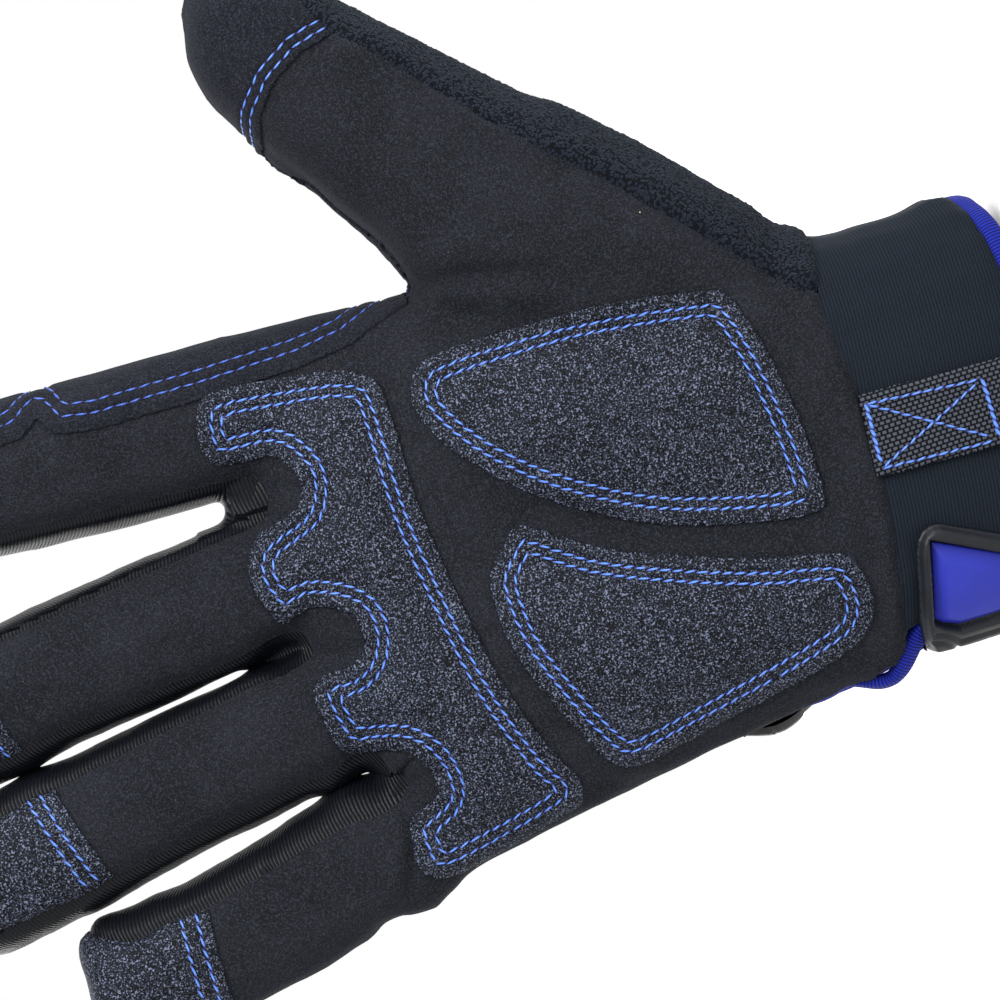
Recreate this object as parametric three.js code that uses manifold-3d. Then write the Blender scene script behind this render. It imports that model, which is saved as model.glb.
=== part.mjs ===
// A right-hand work glove in its worn shape, in millimetres.
// The palm faces -Y, the fingertips point to +Z and the thumb to +X.
// The origin is on the middle line of the cuff, level with the palm side of its rim.
import * as THREE from 'three';
import { mergeVertices } from 'three/addons/utils/BufferGeometryUtils.js';
import Module from 'manifold-3d';

const wasm = await Module();
wasm.setup();

// Driving dimensions
const wall = 1.8;
const gap = 0.3;
const padHeight = 2.2;
const patchHeight = 1.3;
const terryProud = 1.2;
const cuffInset = 0.7;
const guardHeight = 2.8;
const strapHeight = 2.0;
const tabHeight = 3.4;
const insertFloor = 1.2;
const insertHeight = 2.6;
const webbingHeight = 1.4;
const bindingHalfHeight = 1.5;
const bindingHalfWidth = 1.1;
const bindingInset = 1.2;
const fourchetteHalf = 7.5;
const seamBehindMiddle = 2.5;

// Limits beyond the glove on every side, and the distance that welds two points
const far = 90;
const below = -60;
const above = 260;
const weld = 1e-3;

// A table is written as its column names and then one line for each section
const table = (names, lines) => lines.map(
  line => Object.fromEntries(names.map((name, column) => [name, line[column]])));

// Wrist and palm, from below the rim to the crotches of the fingers
const trunk = table(['z', 'left', 'right', 'front', 'back'], [
  [-12, -38.4, 38.6, -23.4, 21.0],
  [6, -38.8, 39.2, -23.8, 21.6],
  [20, -40.4, 39.2, -24.0, 21.8],
  [34, -42.8, 40.4, -23.6, 21.2],
  [45, -44.2, 42.5, -22.6, 20.2],
  [56, -45.2, 44.6, -21.8, 19.3],
  [78, -48.8, 47.5, -20.8, 18.1],
  [90, -51.2, 48.2, -20.4, 17.6],
  [114, -54.6, 48.7, -18.9, 16.2],
  [125, -56.2, 48.8, -17.7, 15.0],
  [133, -57.2, 48.9, -15.8, 13.2],
  [138, -57.6, 48.6, -12.8, 10.4],
  [141.4, -57.2, 48.2, -8.6, 6.6],
  [143, -56.0, 47.6, -3.6, 2.0],
]);
const trunkPower = 2.7;

// The crotch beside the little finger lies lower than the other two
const rootDropFrom = { x: -12, z: 92 };
const rootDropSlope = 0.42;

// Rises and hollows of the palm's front: height is towards the palm side
const palmRelief = table(['x', 'z', 'reachX', 'reachZ', 'height'], [
  [25, 74, 20, 30, 2.4],
  [-27, 66, 17, 30, 1.4],
  [-2, 88, 13, 30, -2.8],
  [-8, 122, 46, 12, 0.8],
]);

// Fingers: middle line at rootLine, sideways lean per millimetre, half widths and half depths
const fingerRows = table(
  ['name', 'root', 'x', 'lean', 'halfRoot', 'halfBase', 'halfMiddle', 'halfTip', 'depthBase', 'depthTip',
    'tip'], [
    ['index', 116, 34.3, 0, 13.0, 15.0, 14.5, 13.4, 12.6, 10.4, 218],
    ['middle', 116, 3.7, -0.152, 12.0, 13.0, 13.6, 12.6, 12.6, 10.6, 226],
    ['ring', 116, -22.3, -0.210, 11.0, 12.6, 13.8, 12.6, 12.2, 10.2, 219],
    ['little', 110, -51.0, -0.235, 10.5, 13.9, 13.4, 12.4, 11.4, 9.4, 196],
  ]);
const rootLine = 140;
const middleLine = 178;
const straightSteps = [0.3, 0.65];
const tipDome = 13;
const domeSteps = [0.5, 0.84, 0.99];
const domeFlat = 0.12;
const fingerPower = 2.3;
const curlStart = -2;
const curlSlope = -0.06;

// The thumb's own axes: along its outer edge, and inwards across it
const thumbBase = new THREE.Vector3(39.5, 0, 32.6);
const thumbAlong = new THREE.Vector3(0.673, 0, 0.740).normalize();
const thumbInward = new THREE.Vector3(-thumbAlong.z, 0, thumbAlong.x);
const thumbRows = table(['along', 'outer', 'inner', 'front', 'back'], [
  [2, 3.0, 30.0, -18.0, 12.0],
  [12, 0.6, 38.0, -20.5, 15.0],
  [26, 0.2, 43.0, -22.4, 15.6],
  [42, 0.2, 45.5, -22.8, 14.2],
  [54, 0.4, 45.0, -22.4, 12.6],
  [61, 0.6, 41.6, -21.8, 11.6],
  [70, 0.8, 37.0, -21.0, 10.4],
  [81, 0.9, 34.8, -20.4, 9.4],
  [92, 1.0, 33.8, -20.0, 8.8],
  [101, 1.6, 30.8, -19.6, 8.2],
  [108, 3.4, 27.3, -18.8, 7.0],
  [114, 6.2, 23.1, -17.0, 4.8],
  [118, 9.4, 19.4, -13.8, 1.4],
  [119.9, 12.4, 16.4, -10.4, -2.0],
]);
const thumbPower = 2.35;

// The terry panel lies behind a slanting sheet along the thumb and outside a line on the hand's back
const terrySeam = table(['along', 'inward', 'front', 'slope'], [
  [-80, 9.4, -20.5, 0.92],
  [45, 9.4, -20.5, 0.92],
  [80, 7.5, -18.9, 0.75],
  [100, 5.5, -16.2, 0.56],
  [200, 0, -14, 0.56],
]);
const terryField = [[26, 20], [26, 36], [40, 84], [49.5, 108], [62, 160], [150, 160], [150, 20]];

// Where the cloth of the hand is sewn to the cuff
const cuffSeam = [[-90, 36.5], [-37, 35.6], [-27, 34.2], [-16, 33.0], [-2, 32.3], [8, 32.6],
  [17, 34.0], [26, 35.0], [37, 33.0], [60, 31.5], [180, 31.5]];

// The rim seen from the side: it dips on the palm side
const rimLine = table(['y', 'z'], [
  [-60, -11.3],
  [0, 6.2],
  [60, 17.6],
]);

// The slit on the little finger's side, as angles in degrees round the wrist from +X
const slit = table(['z', 'backEdge', 'palmEdge'], [
  [-14, 160, 222],
  [13, 161.5, 220.5],
  [22, 163, 219],
  [31, 166, 213],
  [38, 169, 202],
  [44, 172, 192],
  [49, 174, 185],
  [53, 176.5, 179],
]);
const slitReach = { inner: 0.55, outer: 1.5 };
const slitMiddle = 20;

// The binding takes this room beside the slit's edges, in degrees, and above its top
const bindingRoom = { turn: 5.4, top: 3 };
const bindingCrown = 1;
const bindingSteps = { path: 44, rim: 20, sides: 6 };

// Outlines seen from the palm side, as x and z
const padOutlines = {
  pad_knuckle: [[36.5, 147], [38.4, 144.6], [38.4, 136.5], [36.6, 122], [34.3, 116.3], [31.4, 114.3],
    [23.5, 113.6], [8.6, 113], [-6.8, 110.7], [-24.3, 107], [-38.7, 101.7], [-44.3, 98.4], [-48.6, 98.4],
    [-50.8, 101.3], [-55, 115.4], [-56.8, 124.4], [-56, 128.2], [-53, 130], [-45.9, 129.8], [-43.9, 127.1],
    [-42, 123.6], [-39.5, 122.8], [-35.5, 123.9], [-32.1, 127.6], [-30.5, 136.4], [-28.4, 138.6],
    [-21, 140.3], [-17.7, 140.1], [-15.9, 137.1], [-15.4, 132.3], [-12.9, 129.3], [-8.4, 128.6],
    [-5.5, 130.6], [-3.2, 136.4], [-4.4, 142.6], [-1.5, 144.3], [3.6, 146], [8, 145.2], [11, 142.8],
    [13.3, 137.6], [15, 133.8], [19.2, 132.3], [23, 134], [25.2, 137], [25.7, 145.6], [28.4, 148.1],
    [32.6, 148.3]],
  pad_thumb: [[30.7, 108.7], [33.3, 106.7], [34.7, 102.3], [35.4, 91], [35.4, 72.7], [33.2, 54.9],
    [32, 51.2], [29.1, 49.2], [22.1, 46.9], [10.4, 44.5], [-0.9, 43.2], [-8.3, 43.4], [-9.9, 45.2],
    [-9.7, 51.7], [-7.6, 62.2], [-4.7, 72.4], [-0.2, 82.3], [6.6, 93.3], [14.5, 102.2], [21.8, 107.6],
    [26.8, 109.4]],
  pad_heel: [[-1.6, 100.5], [0.9, 98.1], [0.6, 94.9], [-6.2, 83.9], [-11.3, 70.5], [-15.3, 56.9],
    [-18, 43.3], [-22, 40.3], [-27.7, 39.6], [-32.6, 41.7], [-35.2, 45.7], [-38.4, 55.7], [-41.3, 67.5],
    [-43.8, 77.5], [-45.6, 85.4], [-45.2, 89.6], [-43, 92.3], [-34.4, 97.2], [-21.8, 102.8],
    [-12.2, 104.5], [-6, 104]],
};

// Lower edges of the fingertip patches, from the side of the thumb to the other side
const tipPatches = table(['name', 'finger', 'thumbSide', 'otherSide'], [
  ['tip_patch_middle', 'middle', 201, 193.5],
  ['tip_patch_ring', 'ring', 191.8, 183.0],
  ['tip_patch_little', 'little', 169.6, 169.6],
]);
const thumbPatchEdge = [[106, 101.5], [101, 105.5], [97.6, 107.6], [93.8, 113.2], [90.2, 119.4],
  [86.4, 123.4], [80, 125.4], [70, 127]];
const patchReach = 20;
const patchClearance = 0.4;

// The saddle patch runs along the index finger's side and over the web to the thumb
const saddleOnIndexOutline = [[10, 230], [10, 207], [37, 203], [39.6, 199], [39.9, 184.1], [40.4, 179.3],
  [43.5, 175.4], [39.3, 172.6], [38.3, 165.8], [38.7, 146.8], [39.7, 127.6], [41.4, 118], [46.5, 107],
  [60, 107], [60, 230]];
const saddleOnThumbOutline = [[46.5, 107], [44, 100], [47, 99], [53, 102.5], [62, 106], [80, 121.5],
  [74, 127], [62, 121], [56, 113], [52, 112]];
const saddleThumbStrip = { front: -5, back: 6.5 };
const neighbourClearance = 2;

// The rubber plate on the hand's back, seen from behind, and the closure's tab
const guardOutline = [[-47, 52], [-51, 57], [-53, 63], [-52, 70], [-44, 80], [-36, 104], [-26, 118], [4, 126],
  [16, 118], [18, 96], [8, 66], [-8, 54], [-30, 50]];
const guardNotch = [[-30, 62], [-38, 72], [-26, 106], [0, 114], [6, 98], [-4, 72]];
const guardFront = 6.5;
const tabOutline = [[-18.1, 25.6], [-20.2, 27.8], [-33.9, 31.0], [-60, 31.6], [-60, 2.6], [-29.5, 2.6],
  [-27.4, 4.6]];
const insertOutline = [[-21.2, 25.4], [-33.4, 28.3], [-34.7, 26.4], [-34.7, 6.6], [-29.4, 6.6]];
const insertMiddle = [-29, 16];
const insertClearance = 0.04;
const insertFront = -5;
const webbingOutline = [[6.6, 31.4], [-6.6, 32], [-6.6, 2.6], [6.6, 2.6]];
const strapOutline = [[-90, 5.5], [27, 5.5], [27, 28], [-90, 28]];

// The strip between two fingers: how far it reaches from each one's middle line, and its ends
const strip = { reach: 0.42, tipReach: 0.8, low: 122, endBelowTip: 6, bendBelowDome: 4 };

// Number of sides of the outer and inner skins
const sides = { trunk: 24, finger: 12, thumb: 16, innerTrunk: 16, innerFinger: 8, innerThumb: 10 };

// Cloth, rubber and thread colours
const looks = {
  suede: { color: 0x232326, roughness: 0.95 },
  backKnit: { color: 0x1c1d20, roughness: 0.9 },
  terry: { color: 0x161b24, roughness: 1.0 },
  rib: { color: 0x17181b, roughness: 0.6 },
  grain: { color: 0x3a3f47, roughness: 0.85 },
  neoprene: { color: 0x14191c, roughness: 0.85 },
  binding: { color: 0x2b2aa0, roughness: 0.6 },
  webbing: { color: 0x1e1e1f, roughness: 0.65 },
  rubber: { color: 0x24272a, roughness: 0.5 },
  blueRubber: { color: 0x3a3ab8, roughness: 0.55 },
};

// Solids from geometries, and back
function toSolid(geometry) {
  const bare = geometry.clone();
  for (const name of Object.keys(bare.attributes)) {
    if (name !== 'position') bare.deleteAttribute(name);
  }
  const merged = mergeVertices(bare, weld);
  const corners = merged.index.array;
  const kept = [];
  for (let i = 0; i < corners.length; i += 3) {
    const [a, b, c] = [corners[i], corners[i + 1], corners[i + 2]];
    if (a !== b && b !== c && a !== c) kept.push(a, b, c);
  }
  return new wasm.Manifold(new wasm.Mesh({
    numProp: 3,
    vertProperties: new Float32Array(merged.attributes.position.array),
    triVerts: new Uint32Array(kept),
  }));
}

function toGeometry(solid) {
  const mesh = solid.getMesh();
  const geometry = new THREE.BufferGeometry();
  geometry.setAttribute('position', new THREE.BufferAttribute(mesh.vertProperties, 3));
  geometry.setIndex(new THREE.BufferAttribute(mesh.triVerts, 1));
  geometry.computeVertexNormals();
  return geometry;
}

const joined = solids => solids.reduce((sum, solid) => sum.add(solid));

// A cut can leave loose crumbs beside the piece, or joined to it at a corner alone
const largest = solid => solid.decompose().sort((one, other) => other.volume() - one.volume())[0];
function withoutCrumbs(solid) {
  let kept = largest(solid);
  for (let pass = 0; pass < 3; pass += 1) kept = largest(toSolid(toGeometry(kept)));
  return kept;
}

// A cylinder's rows and sides moved to pointAt(row, angle); its cap centres go to each end loop's middle
function skin(rowCount, sideCount, pointAt) {
  const geometry = new THREE.CylinderGeometry(1, 1, 1, sideCount, rowCount - 1, false, Math.PI / 2);
  const position = geometry.attributes.position;
  const step = 2 * Math.PI / sideCount;
  const middleOf = row => {
    const sum = new THREE.Vector3();
    for (let side = 0; side < sideCount; side += 1) sum.add(pointAt(row, side * step));
    return sum.divideScalar(sideCount);
  };
  for (let i = 0; i < position.count; i += 1) {
    const row = Math.round((position.getY(i) + 0.5) * (rowCount - 1));
    const onAxis = Math.hypot(position.getX(i), position.getZ(i)) < 0.5;
    const side = Math.round(Math.atan2(-position.getZ(i), position.getX(i)) / step);
    const wrapped = ((side % sideCount) + sideCount) % sideCount;
    const point = onAxis ? middleOf(row) : pointAt(row, wrapped * step);
    position.setXYZ(i, point.x, point.y, point.z);
  }
  return toSolid(geometry);
}

// A prism through the hand from an outline in x and z, or across it from one in y and z
function prismY(outline, low = -far, high = far) {
  const shape = new THREE.Shape(outline.map(([x, z]) => new THREE.Vector2(x, z)));
  const geometry = new THREE.ExtrudeGeometry(shape, { depth: high - low, bevelEnabled: false });
  geometry.rotateX(Math.PI / 2).translate(0, high, 0);
  return toSolid(geometry);
}

function prismX(outline, low = -far, high = 2 * far) {
  const shape = new THREE.Shape(outline.map(([y, z]) => new THREE.Vector2(y, z)));
  const geometry = new THREE.ExtrudeGeometry(shape, { depth: high - low, bevelEnabled: false });
  geometry.translate(0, 0, low);
  geometry.applyMatrix4(new THREE.Matrix4().makeBasis(
    new THREE.Vector3(0, 1, 0), new THREE.Vector3(0, 0, 1), new THREE.Vector3(1, 0, 0)));
  return toSolid(geometry);
}

// A coordinate on a rounded rectangle's outline
const rounded = (value, power) => Math.sign(value) * Math.abs(value) ** (2 / power);
const mix = (a, b, t) => a + (b - a) * t;

// The table's values between two of its lines
function between(rows, key, value) {
  const found = rows.findIndex(row => row[key] >= value);
  const upper = found < 0 ? rows.length - 1 : Math.max(1, found);
  const [a, b] = [rows[upper - 1], rows[upper]];
  const t = (value - a[key]) / (b[key] - a[key]);
  return Object.fromEntries(Object.keys(a).map(name => [name, mix(a[name], b[name], t)]));
}

// How far the palm's front stands out or back at a place
function relief(x, z) {
  return palmRelief.reduce((sum, bump) => {
    const across = (x - bump.x) / bump.reachX;
    const along = (z - bump.z) / bump.reachZ;
    return sum + bump.height * Math.exp(-across * across - along * along);
  }, 0);
}

// One point of the wrist and palm's skin, grown outwards
function trunkPoint(row, angle, grow) {
  const halfWidth = (row.right - row.left) / 2 + grow;
  const halfDepth = (row.back - row.front) / 2 + grow;
  const x = (row.left + row.right) / 2 + halfWidth * rounded(Math.cos(angle), trunkPower);
  const side = rounded(Math.sin(angle), trunkPower);
  const y = (row.front + row.back) / 2 + halfDepth * side + Math.min(0, side) * relief(x, row.z);
  const rise = Math.max(0, (row.z - rootDropFrom.z) / (rootLine - rootDropFrom.z));
  const drop = rootDropSlope * Math.max(0, rootDropFrom.x - x) * Math.min(1, rise);
  return new THREE.Vector3(x, y, row.z - drop);
}

function trunkSkin(grow, sideCount) {
  const last = trunk.length - 1;
  return skin(trunk.length, sideCount, (index, angle) => {
    const row = trunk[index];
    const point = trunkPoint(row, angle, grow);
    if (index === last) point.z += grow;
    return point;
  });
}

const curl = z => curlStart + curlSlope * (z - rootLine);
const fingerMiddle = (finger, z) => finger.x + finger.lean * (z - rootLine);

function fingerHalf(finger, z) {
  const { root, tip, halfRoot, halfBase, halfMiddle, halfTip } = finger;
  if (z < rootLine) return mix(halfRoot, halfBase, (z - root) / (rootLine - root));
  if (z < middleLine) return mix(halfBase, halfMiddle, (z - rootLine) / (middleLine - rootLine));
  return mix(halfMiddle, halfTip, (z - middleLine) / (tip - tipDome - middleLine));
}

// The straight rows of a finger and then the rows of its round tip
function fingerSections(finger) {
  const domeStart = finger.tip - tipDome;
  const steps = straightSteps.map(step => mix(rootLine, domeStart, step));
  const straight = [finger.root, rootLine, ...steps, domeStart].map(z => {
    const towardsTip = Math.max(0, (z - rootLine) / (domeStart - rootLine));
    const depth = mix(finger.depthBase, finger.depthTip, towardsTip);
    return { z, half: fingerHalf(finger, z), depth, end: 0 };
  });
  const dome = domeSteps.map(step => {
    const round = Math.sqrt(1 - step * step);
    return {
      z: domeStart + tipDome * step,
      half: finger.halfTip * mix(round, 1, domeFlat),
      depth: finger.depthTip * mix(round, 1, domeFlat),
      end: step,
    };
  });
  return [...straight, ...dome];
}

function fingerSkin(finger, grow, sideCount) {
  const sections = fingerSections(finger);
  return skin(sections.length, sideCount, (index, angle) => {
    const row = sections[index];
    return new THREE.Vector3(
      fingerMiddle(finger, row.z) + (row.half + grow) * rounded(Math.cos(angle), fingerPower),
      curl(row.z) + (row.depth + grow) * rounded(Math.sin(angle), fingerPower),
      row.z + grow * row.end);
  });
}

// A place in the thumb's own axes
function thumbPlace(along, inward, y) {
  return thumbBase.clone().addScaledVector(thumbAlong, along).addScaledVector(thumbInward, inward).setY(y);
}

function thumbSkin(grow, sideCount) {
  const last = thumbRows.length - 1;
  return skin(thumbRows.length, sideCount, (index, angle) => {
    const row = thumbRows[index];
    const half = (row.inner - row.outer) / 2 + grow;
    const depth = (row.back - row.front) / 2 + grow;
    const inward = (row.inner + row.outer) / 2 - half * rounded(Math.cos(angle), thumbPower);
    const y = (row.front + row.back) / 2 + depth * rounded(Math.sin(angle), thumbPower);
    return thumbPlace(row.along + (index === last ? grow : 0), inward, y);
  });
}

const fingerNamed = name => fingerRows.find(finger => finger.name === name);

// The whole hand's form, grown by a distance
function handForm(grow) {
  return joined([
    trunkSkin(grow, sides.trunk),
    thumbSkin(grow, sides.thumb),
    ...fingerRows.map(finger => fingerSkin(finger, grow, sides.finger)),
  ]);
}

const hollow = joined([
  trunkSkin(-wall, sides.innerTrunk),
  thumbSkin(-wall, sides.innerThumb),
  ...fingerRows.map(finger => fingerSkin(finger, -wall, sides.innerFinger)),
]);

const hand = handForm(0);
const underlay = handForm(gap);
const handWall = hand.subtract(hollow);

// A layer that lies on the outside of the hand
const layer = height => handForm(gap + height).subtract(underlay);

// The half of the hand on the palm side of a sheet through the sides, set back by a distance
function palmSide(shift) {
  const sheet = z => curl(Math.max(z, rootLine)) + seamBehindMiddle + shift;
  const edge = [below, rootLine, above].map(z => [sheet(z), z]);
  return prismX([[-far, below], ...edge, [-far, above]]);
}

// The palm side of the slanting sheet along the thumb
function underTerrySheet(shift) {
  const [thumbwards, inwards] = [-60, 120];
  const bottom = -3 * far;
  return skin(terrySeam.length, 4, (index, angle) => {
    const row = terrySeam[index];
    const corner = Math.round(angle / (Math.PI / 2)) % 4;
    const inward = corner === 0 || corner === 3 ? thumbwards : inwards;
    const sheet = row.front + (inward - row.inward) * row.slope + shift;
    return thumbPlace(row.along, inward, corner < 2 ? sheet : bottom);
  });
}

// All that lies on the fingers' side of the line where the cuff is sewn on
const beyondSeam = shift => prismY([...cuffSeam.map(([x, z]) => [x, z + shift]), [2 * far, above],
  [-far, above]]);

// All that lies on the thumb's side of the terry panel's edge on the hand's back
const terryRoom = shift => prismY(terryField.map(([x, z]) => [x - shift, z]));

// The opening of the slit, with the binding's room round it
function slitRoomSolid() {
  return skin(slit.length, 6, (index, angle) => {
    const row = slit[index];
    const corner = Math.round(angle / (Math.PI / 3)) % 6;
    const turns = [
      row.palmEdge + bindingRoom.turn,
      (row.backEdge + row.palmEdge) / 2,
      row.backEdge - bindingRoom.turn,
    ];
    const outside = corner > 2;
    const turn = THREE.MathUtils.degToRad(turns[outside ? 5 - corner : corner]);
    const reach = trunkPoint(between(trunk, 'z', slitMiddle), turn, 0)
      .multiplyScalar(outside ? slitReach.outer : slitReach.inner);
    return reach.setZ(row.z + (index === slit.length - 1 ? bindingRoom.top : 0));
  });
}

const rimHeight = y => between(rimLine, 'y', y).z;

// The binding runs round the rim, up one edge of the slit and down the other
function bindingPath() {
  const onWrist = (z, degrees) => {
    const turn = THREE.MathUtils.degToRad(degrees);
    const inset = bindingInset + (z < cuffSeam[0][1] ? cuffInset : 0);
    return trunkPoint(between(trunk, 'z', z), turn, -inset).setZ(z);
  };
  const [, lowest, ...higher] = slit;
  const turnStep = (360 + lowest.backEdge - lowest.palmEdge) / bindingSteps.rim;
  const points = [];
  for (let index = 0; index <= bindingSteps.rim; index += 1) {
    const point = onWrist(0, lowest.palmEdge + index * turnStep);
    points.push(point.setZ(rimHeight(point.y)));
  }
  const upwards = [lowest, ...higher.slice(0, -1)];
  const crown = higher.at(-1);
  for (const row of upwards) points.push(onWrist(row.z, row.backEdge));
  points.push(onWrist(crown.z + bindingCrown, crown.backEdge));
  for (const row of upwards.reverse()) points.push(onWrist(row.z, row.palmEdge));
  return new THREE.CatmullRomCurve3(points, true, 'centripetal');
}

// A torus whose rings are moved onto the binding's path
function bindingTube() {
  const path = bindingPath();
  const steps = bindingSteps.path;
  const geometry = new THREE.TorusGeometry(2, 0.5, bindingSteps.sides, steps);
  const position = geometry.attributes.position;
  for (let i = 0; i < position.count; i += 1) {
    const at = i % (steps + 1) % steps / steps;
    const round = Math.floor(i / (steps + 1)) % bindingSteps.sides;
    const turn = round / bindingSteps.sides * 2 * Math.PI;
    const centre = path.getPointAt(at);
    const along = path.getTangentAt(at);
    const outward = new THREE.Vector3(centre.x / 40, centre.y / 24, 0).normalize();
    const across = new THREE.Vector3().crossVectors(along, outward).normalize();
    outward.crossVectors(across, along).normalize();
    centre.addScaledVector(across, Math.cos(turn) * bindingHalfHeight);
    centre.addScaledVector(outward, Math.sin(turn) * bindingHalfWidth);
    position.setXYZ(i, centre.x, centre.y, centre.z);
  }
  return toSolid(geometry);
}

// The strip between two neighbouring fingers, seen from the palm side
function fingerGap(thumbSide, otherSide, margin) {
  const edgeOf = (finger, side) => {
    const bend = finger.tip - tipDome - strip.bendBelowDome;
    const end = finger.tip - strip.endBelowTip;
    const at = (z, reach) => fingerMiddle(finger, z) + side * (reach - margin);
    const nearTip = at(end, strip.tipReach * finger.halfTip);
    return [
      [at(rootLine, strip.reach * finger.halfBase), strip.low - margin],
      [at(rootLine, strip.reach * finger.halfBase), rootLine],
      [at(bend, strip.reach * fingerHalf(finger, bend)), bend],
      [nearTip, end],
      [nearTip, above],
    ];
  };
  return prismY([...edgeOf(thumbSide, -1), ...edgeOf(otherSide, 1).reverse()]);
}

function fourchetteSlab(margin) {
  const half = fourchetteHalf + margin;
  const middle = [[curl(rootLine), below], [curl(rootLine), rootLine], [curl(above), above]];
  return prismX([
    ...middle.map(([y, z]) => [y - half, z]),
    ...middle.reverse().map(([y, z]) => [y + half, z]),
  ]);
}

const fingerPairs = [['index', 'middle'], ['middle', 'ring'], ['ring', 'little']];
const gapsBetween = margin => fingerPairs.map(pair => {
  const [one, other] = pair.map(fingerNamed);
  return fingerGap(one, other, margin).intersect(fourchetteSlab(margin));
});
const fourchetteRoom = joined(gapsBetween(gap));

const slitRoom = slitRoomSolid();
const clothOfHand = handWall.intersect(beyondSeam(gap)).subtract(slitRoom);
const palmRegion = palmSide(0).subtract(terryRoom(0)).add(underTerrySheet(0).intersect(terryRoom(0)));
const palmOrTerry = palmSide(gap).add(terryRoom(gap));
const terryRegion = terryRoom(0).subtract(underTerrySheet(gap));

const parts = {};
parts.palm_panel = [clothOfHand.intersect(palmRegion).subtract(fourchetteRoom), looks.suede];
parts.back_panel = [clothOfHand.subtract(palmOrTerry).subtract(fourchetteRoom), looks.backKnit];
parts.thumb_terry = [handForm(terryProud).subtract(hollow).intersect(beyondSeam(gap))
  .subtract(slitRoom).intersect(terryRegion), looks.terry];
gapsBetween(0).forEach((region, index) => {
  parts[`fourchette_${fingerPairs[index].join('_')}`] = [handWall.intersect(region), looks.rib];
});

// Pads and patches sewn on the outside
const padLayer = layer(padHeight);
const patchLayer = layer(patchHeight);
const palmPatchLayer = patchLayer.intersect(palmSide(-gap)).subtract(fourchetteRoom);
for (const [name, outline] of Object.entries(padOutlines)) {
  parts[name] = [padLayer.intersect(prismY(outline, -far, seamBehindMiddle - gap)), looks.grain];
}
for (const patch of tipPatches) {
  const finger = fingerNamed(patch.finger);
  const height = (patch.thumbSide + patch.otherSide) / 2;
  const rise = (patch.thumbSide - patch.otherSide) / (2 * finger.halfTip) * patchReach;
  const [left, right] = [-patchReach, patchReach].map(shift => fingerMiddle(finger, height) + shift);
  const region = prismY([[right, height + rise], [right, above], [left, above], [left, height - rise]]);
  const others = fingerRows.filter(other => other !== finger)
    .map(other => fingerSkin(other, neighbourClearance, sides.innerFinger));
  parts[patch.name] = [palmPatchLayer.intersect(region).subtract(joined(others)), looks.grain];
}
const thumbTipRegion = shift => prismY([...thumbPatchEdge.map(([x, z]) => [x - shift, z - shift]),
  [70, 150], [140, 150], [140, 90]]);
parts.thumb_tip_patch = [patchLayer.intersect(thumbTipRegion(0)).intersect(underTerrySheet(-terryProud)),
  looks.suede];
const saddleOnIndex = palmPatchLayer.intersect(prismY(saddleOnIndexOutline))
  .subtract(fingerSkin(fingerNamed('middle'), neighbourClearance, sides.innerFinger))
  .subtract(terryRoom(gap).subtract(underTerrySheet(0)));
const saddleOnThumb = patchLayer.intersect(underTerrySheet(-gap))
  .intersect(prismY(saddleOnThumbOutline, saddleThumbStrip.front, saddleThumbStrip.back));
parts.saddle_patch = [saddleOnIndex.add(saddleOnThumb).subtract(thumbTipRegion(patchClearance)),
  looks.suede];

// The cuff and its binding
const cuffForm = trunkSkin(-cuffInset, sides.trunk);
const cuffHollow = trunkSkin(-cuffInset - wall, sides.innerTrunk);
const rimCut = bindingHalfHeight + 3 * gap;
const belowRim = prismX([...rimLine.map(({ y, z }) => [y, z + rimCut]), [far, below], [-far, below]]);
parts.cuff = [cuffForm.subtract(cuffHollow).subtract(beyondSeam(0)).subtract(belowRim).subtract(slitRoom),
  looks.neoprene];
parts.cuff_binding = [bindingTube(), looks.binding];

// A layer on the outside of the cuff, for the closure and the pull tab
const cuffSurface = trunkSkin(gap - cuffInset, sides.trunk);
const onCuff = height => trunkSkin(height - cuffInset + gap, sides.trunk).subtract(cuffSurface);
const insertRoom = trunkSkin(tabHeight + gap, sides.trunk)
  .subtract(trunkSkin(insertFloor - cuffInset + gap, sides.trunk))
  .intersect(prismY(insertOutline, -far, insertFront));
parts.closure_tab = [onCuff(tabHeight).intersect(prismY(tabOutline, -far, 0)).subtract(insertRoom),
  looks.rubber];
const insertEdge = insertOutline.map(point => point.map(
  (value, axis) => mix(value, insertMiddle[axis], insertClearance)));
parts.closure_insert = [onCuff(insertHeight).subtract(onCuff(insertFloor + gap))
  .intersect(prismY(insertEdge, -far, insertFront)), looks.blueRubber];
parts.closure_strap = [onCuff(strapHeight).intersect(prismY(strapOutline, gap, far)), looks.webbing];
parts.pull_tab = [onCuff(webbingHeight).intersect(prismY(webbingOutline, -far, 0)), looks.webbing];

parts.back_guard = [layer(guardHeight).intersect(prismY(guardOutline, guardFront, far))
  .subtract(prismY(guardNotch)), looks.rubber];

const group = new THREE.Group();
for (const [name, [solid, look]] of Object.entries(parts)) {
  const material = new THREE.MeshStandardMaterial({ ...look, metalness: 0 });
  const mesh = new THREE.Mesh(toGeometry(withoutCrumbs(solid)), material);
  mesh.name = name;
  group.add(mesh);
}

export default group;
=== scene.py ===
import math
from collections import defaultdict

import bmesh
import bpy
import numpy as np
from mathutils import Matrix, Vector, noise
from mathutils.bvhtree import BVHTree
from mathutils.kdtree import KDTree


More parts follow.
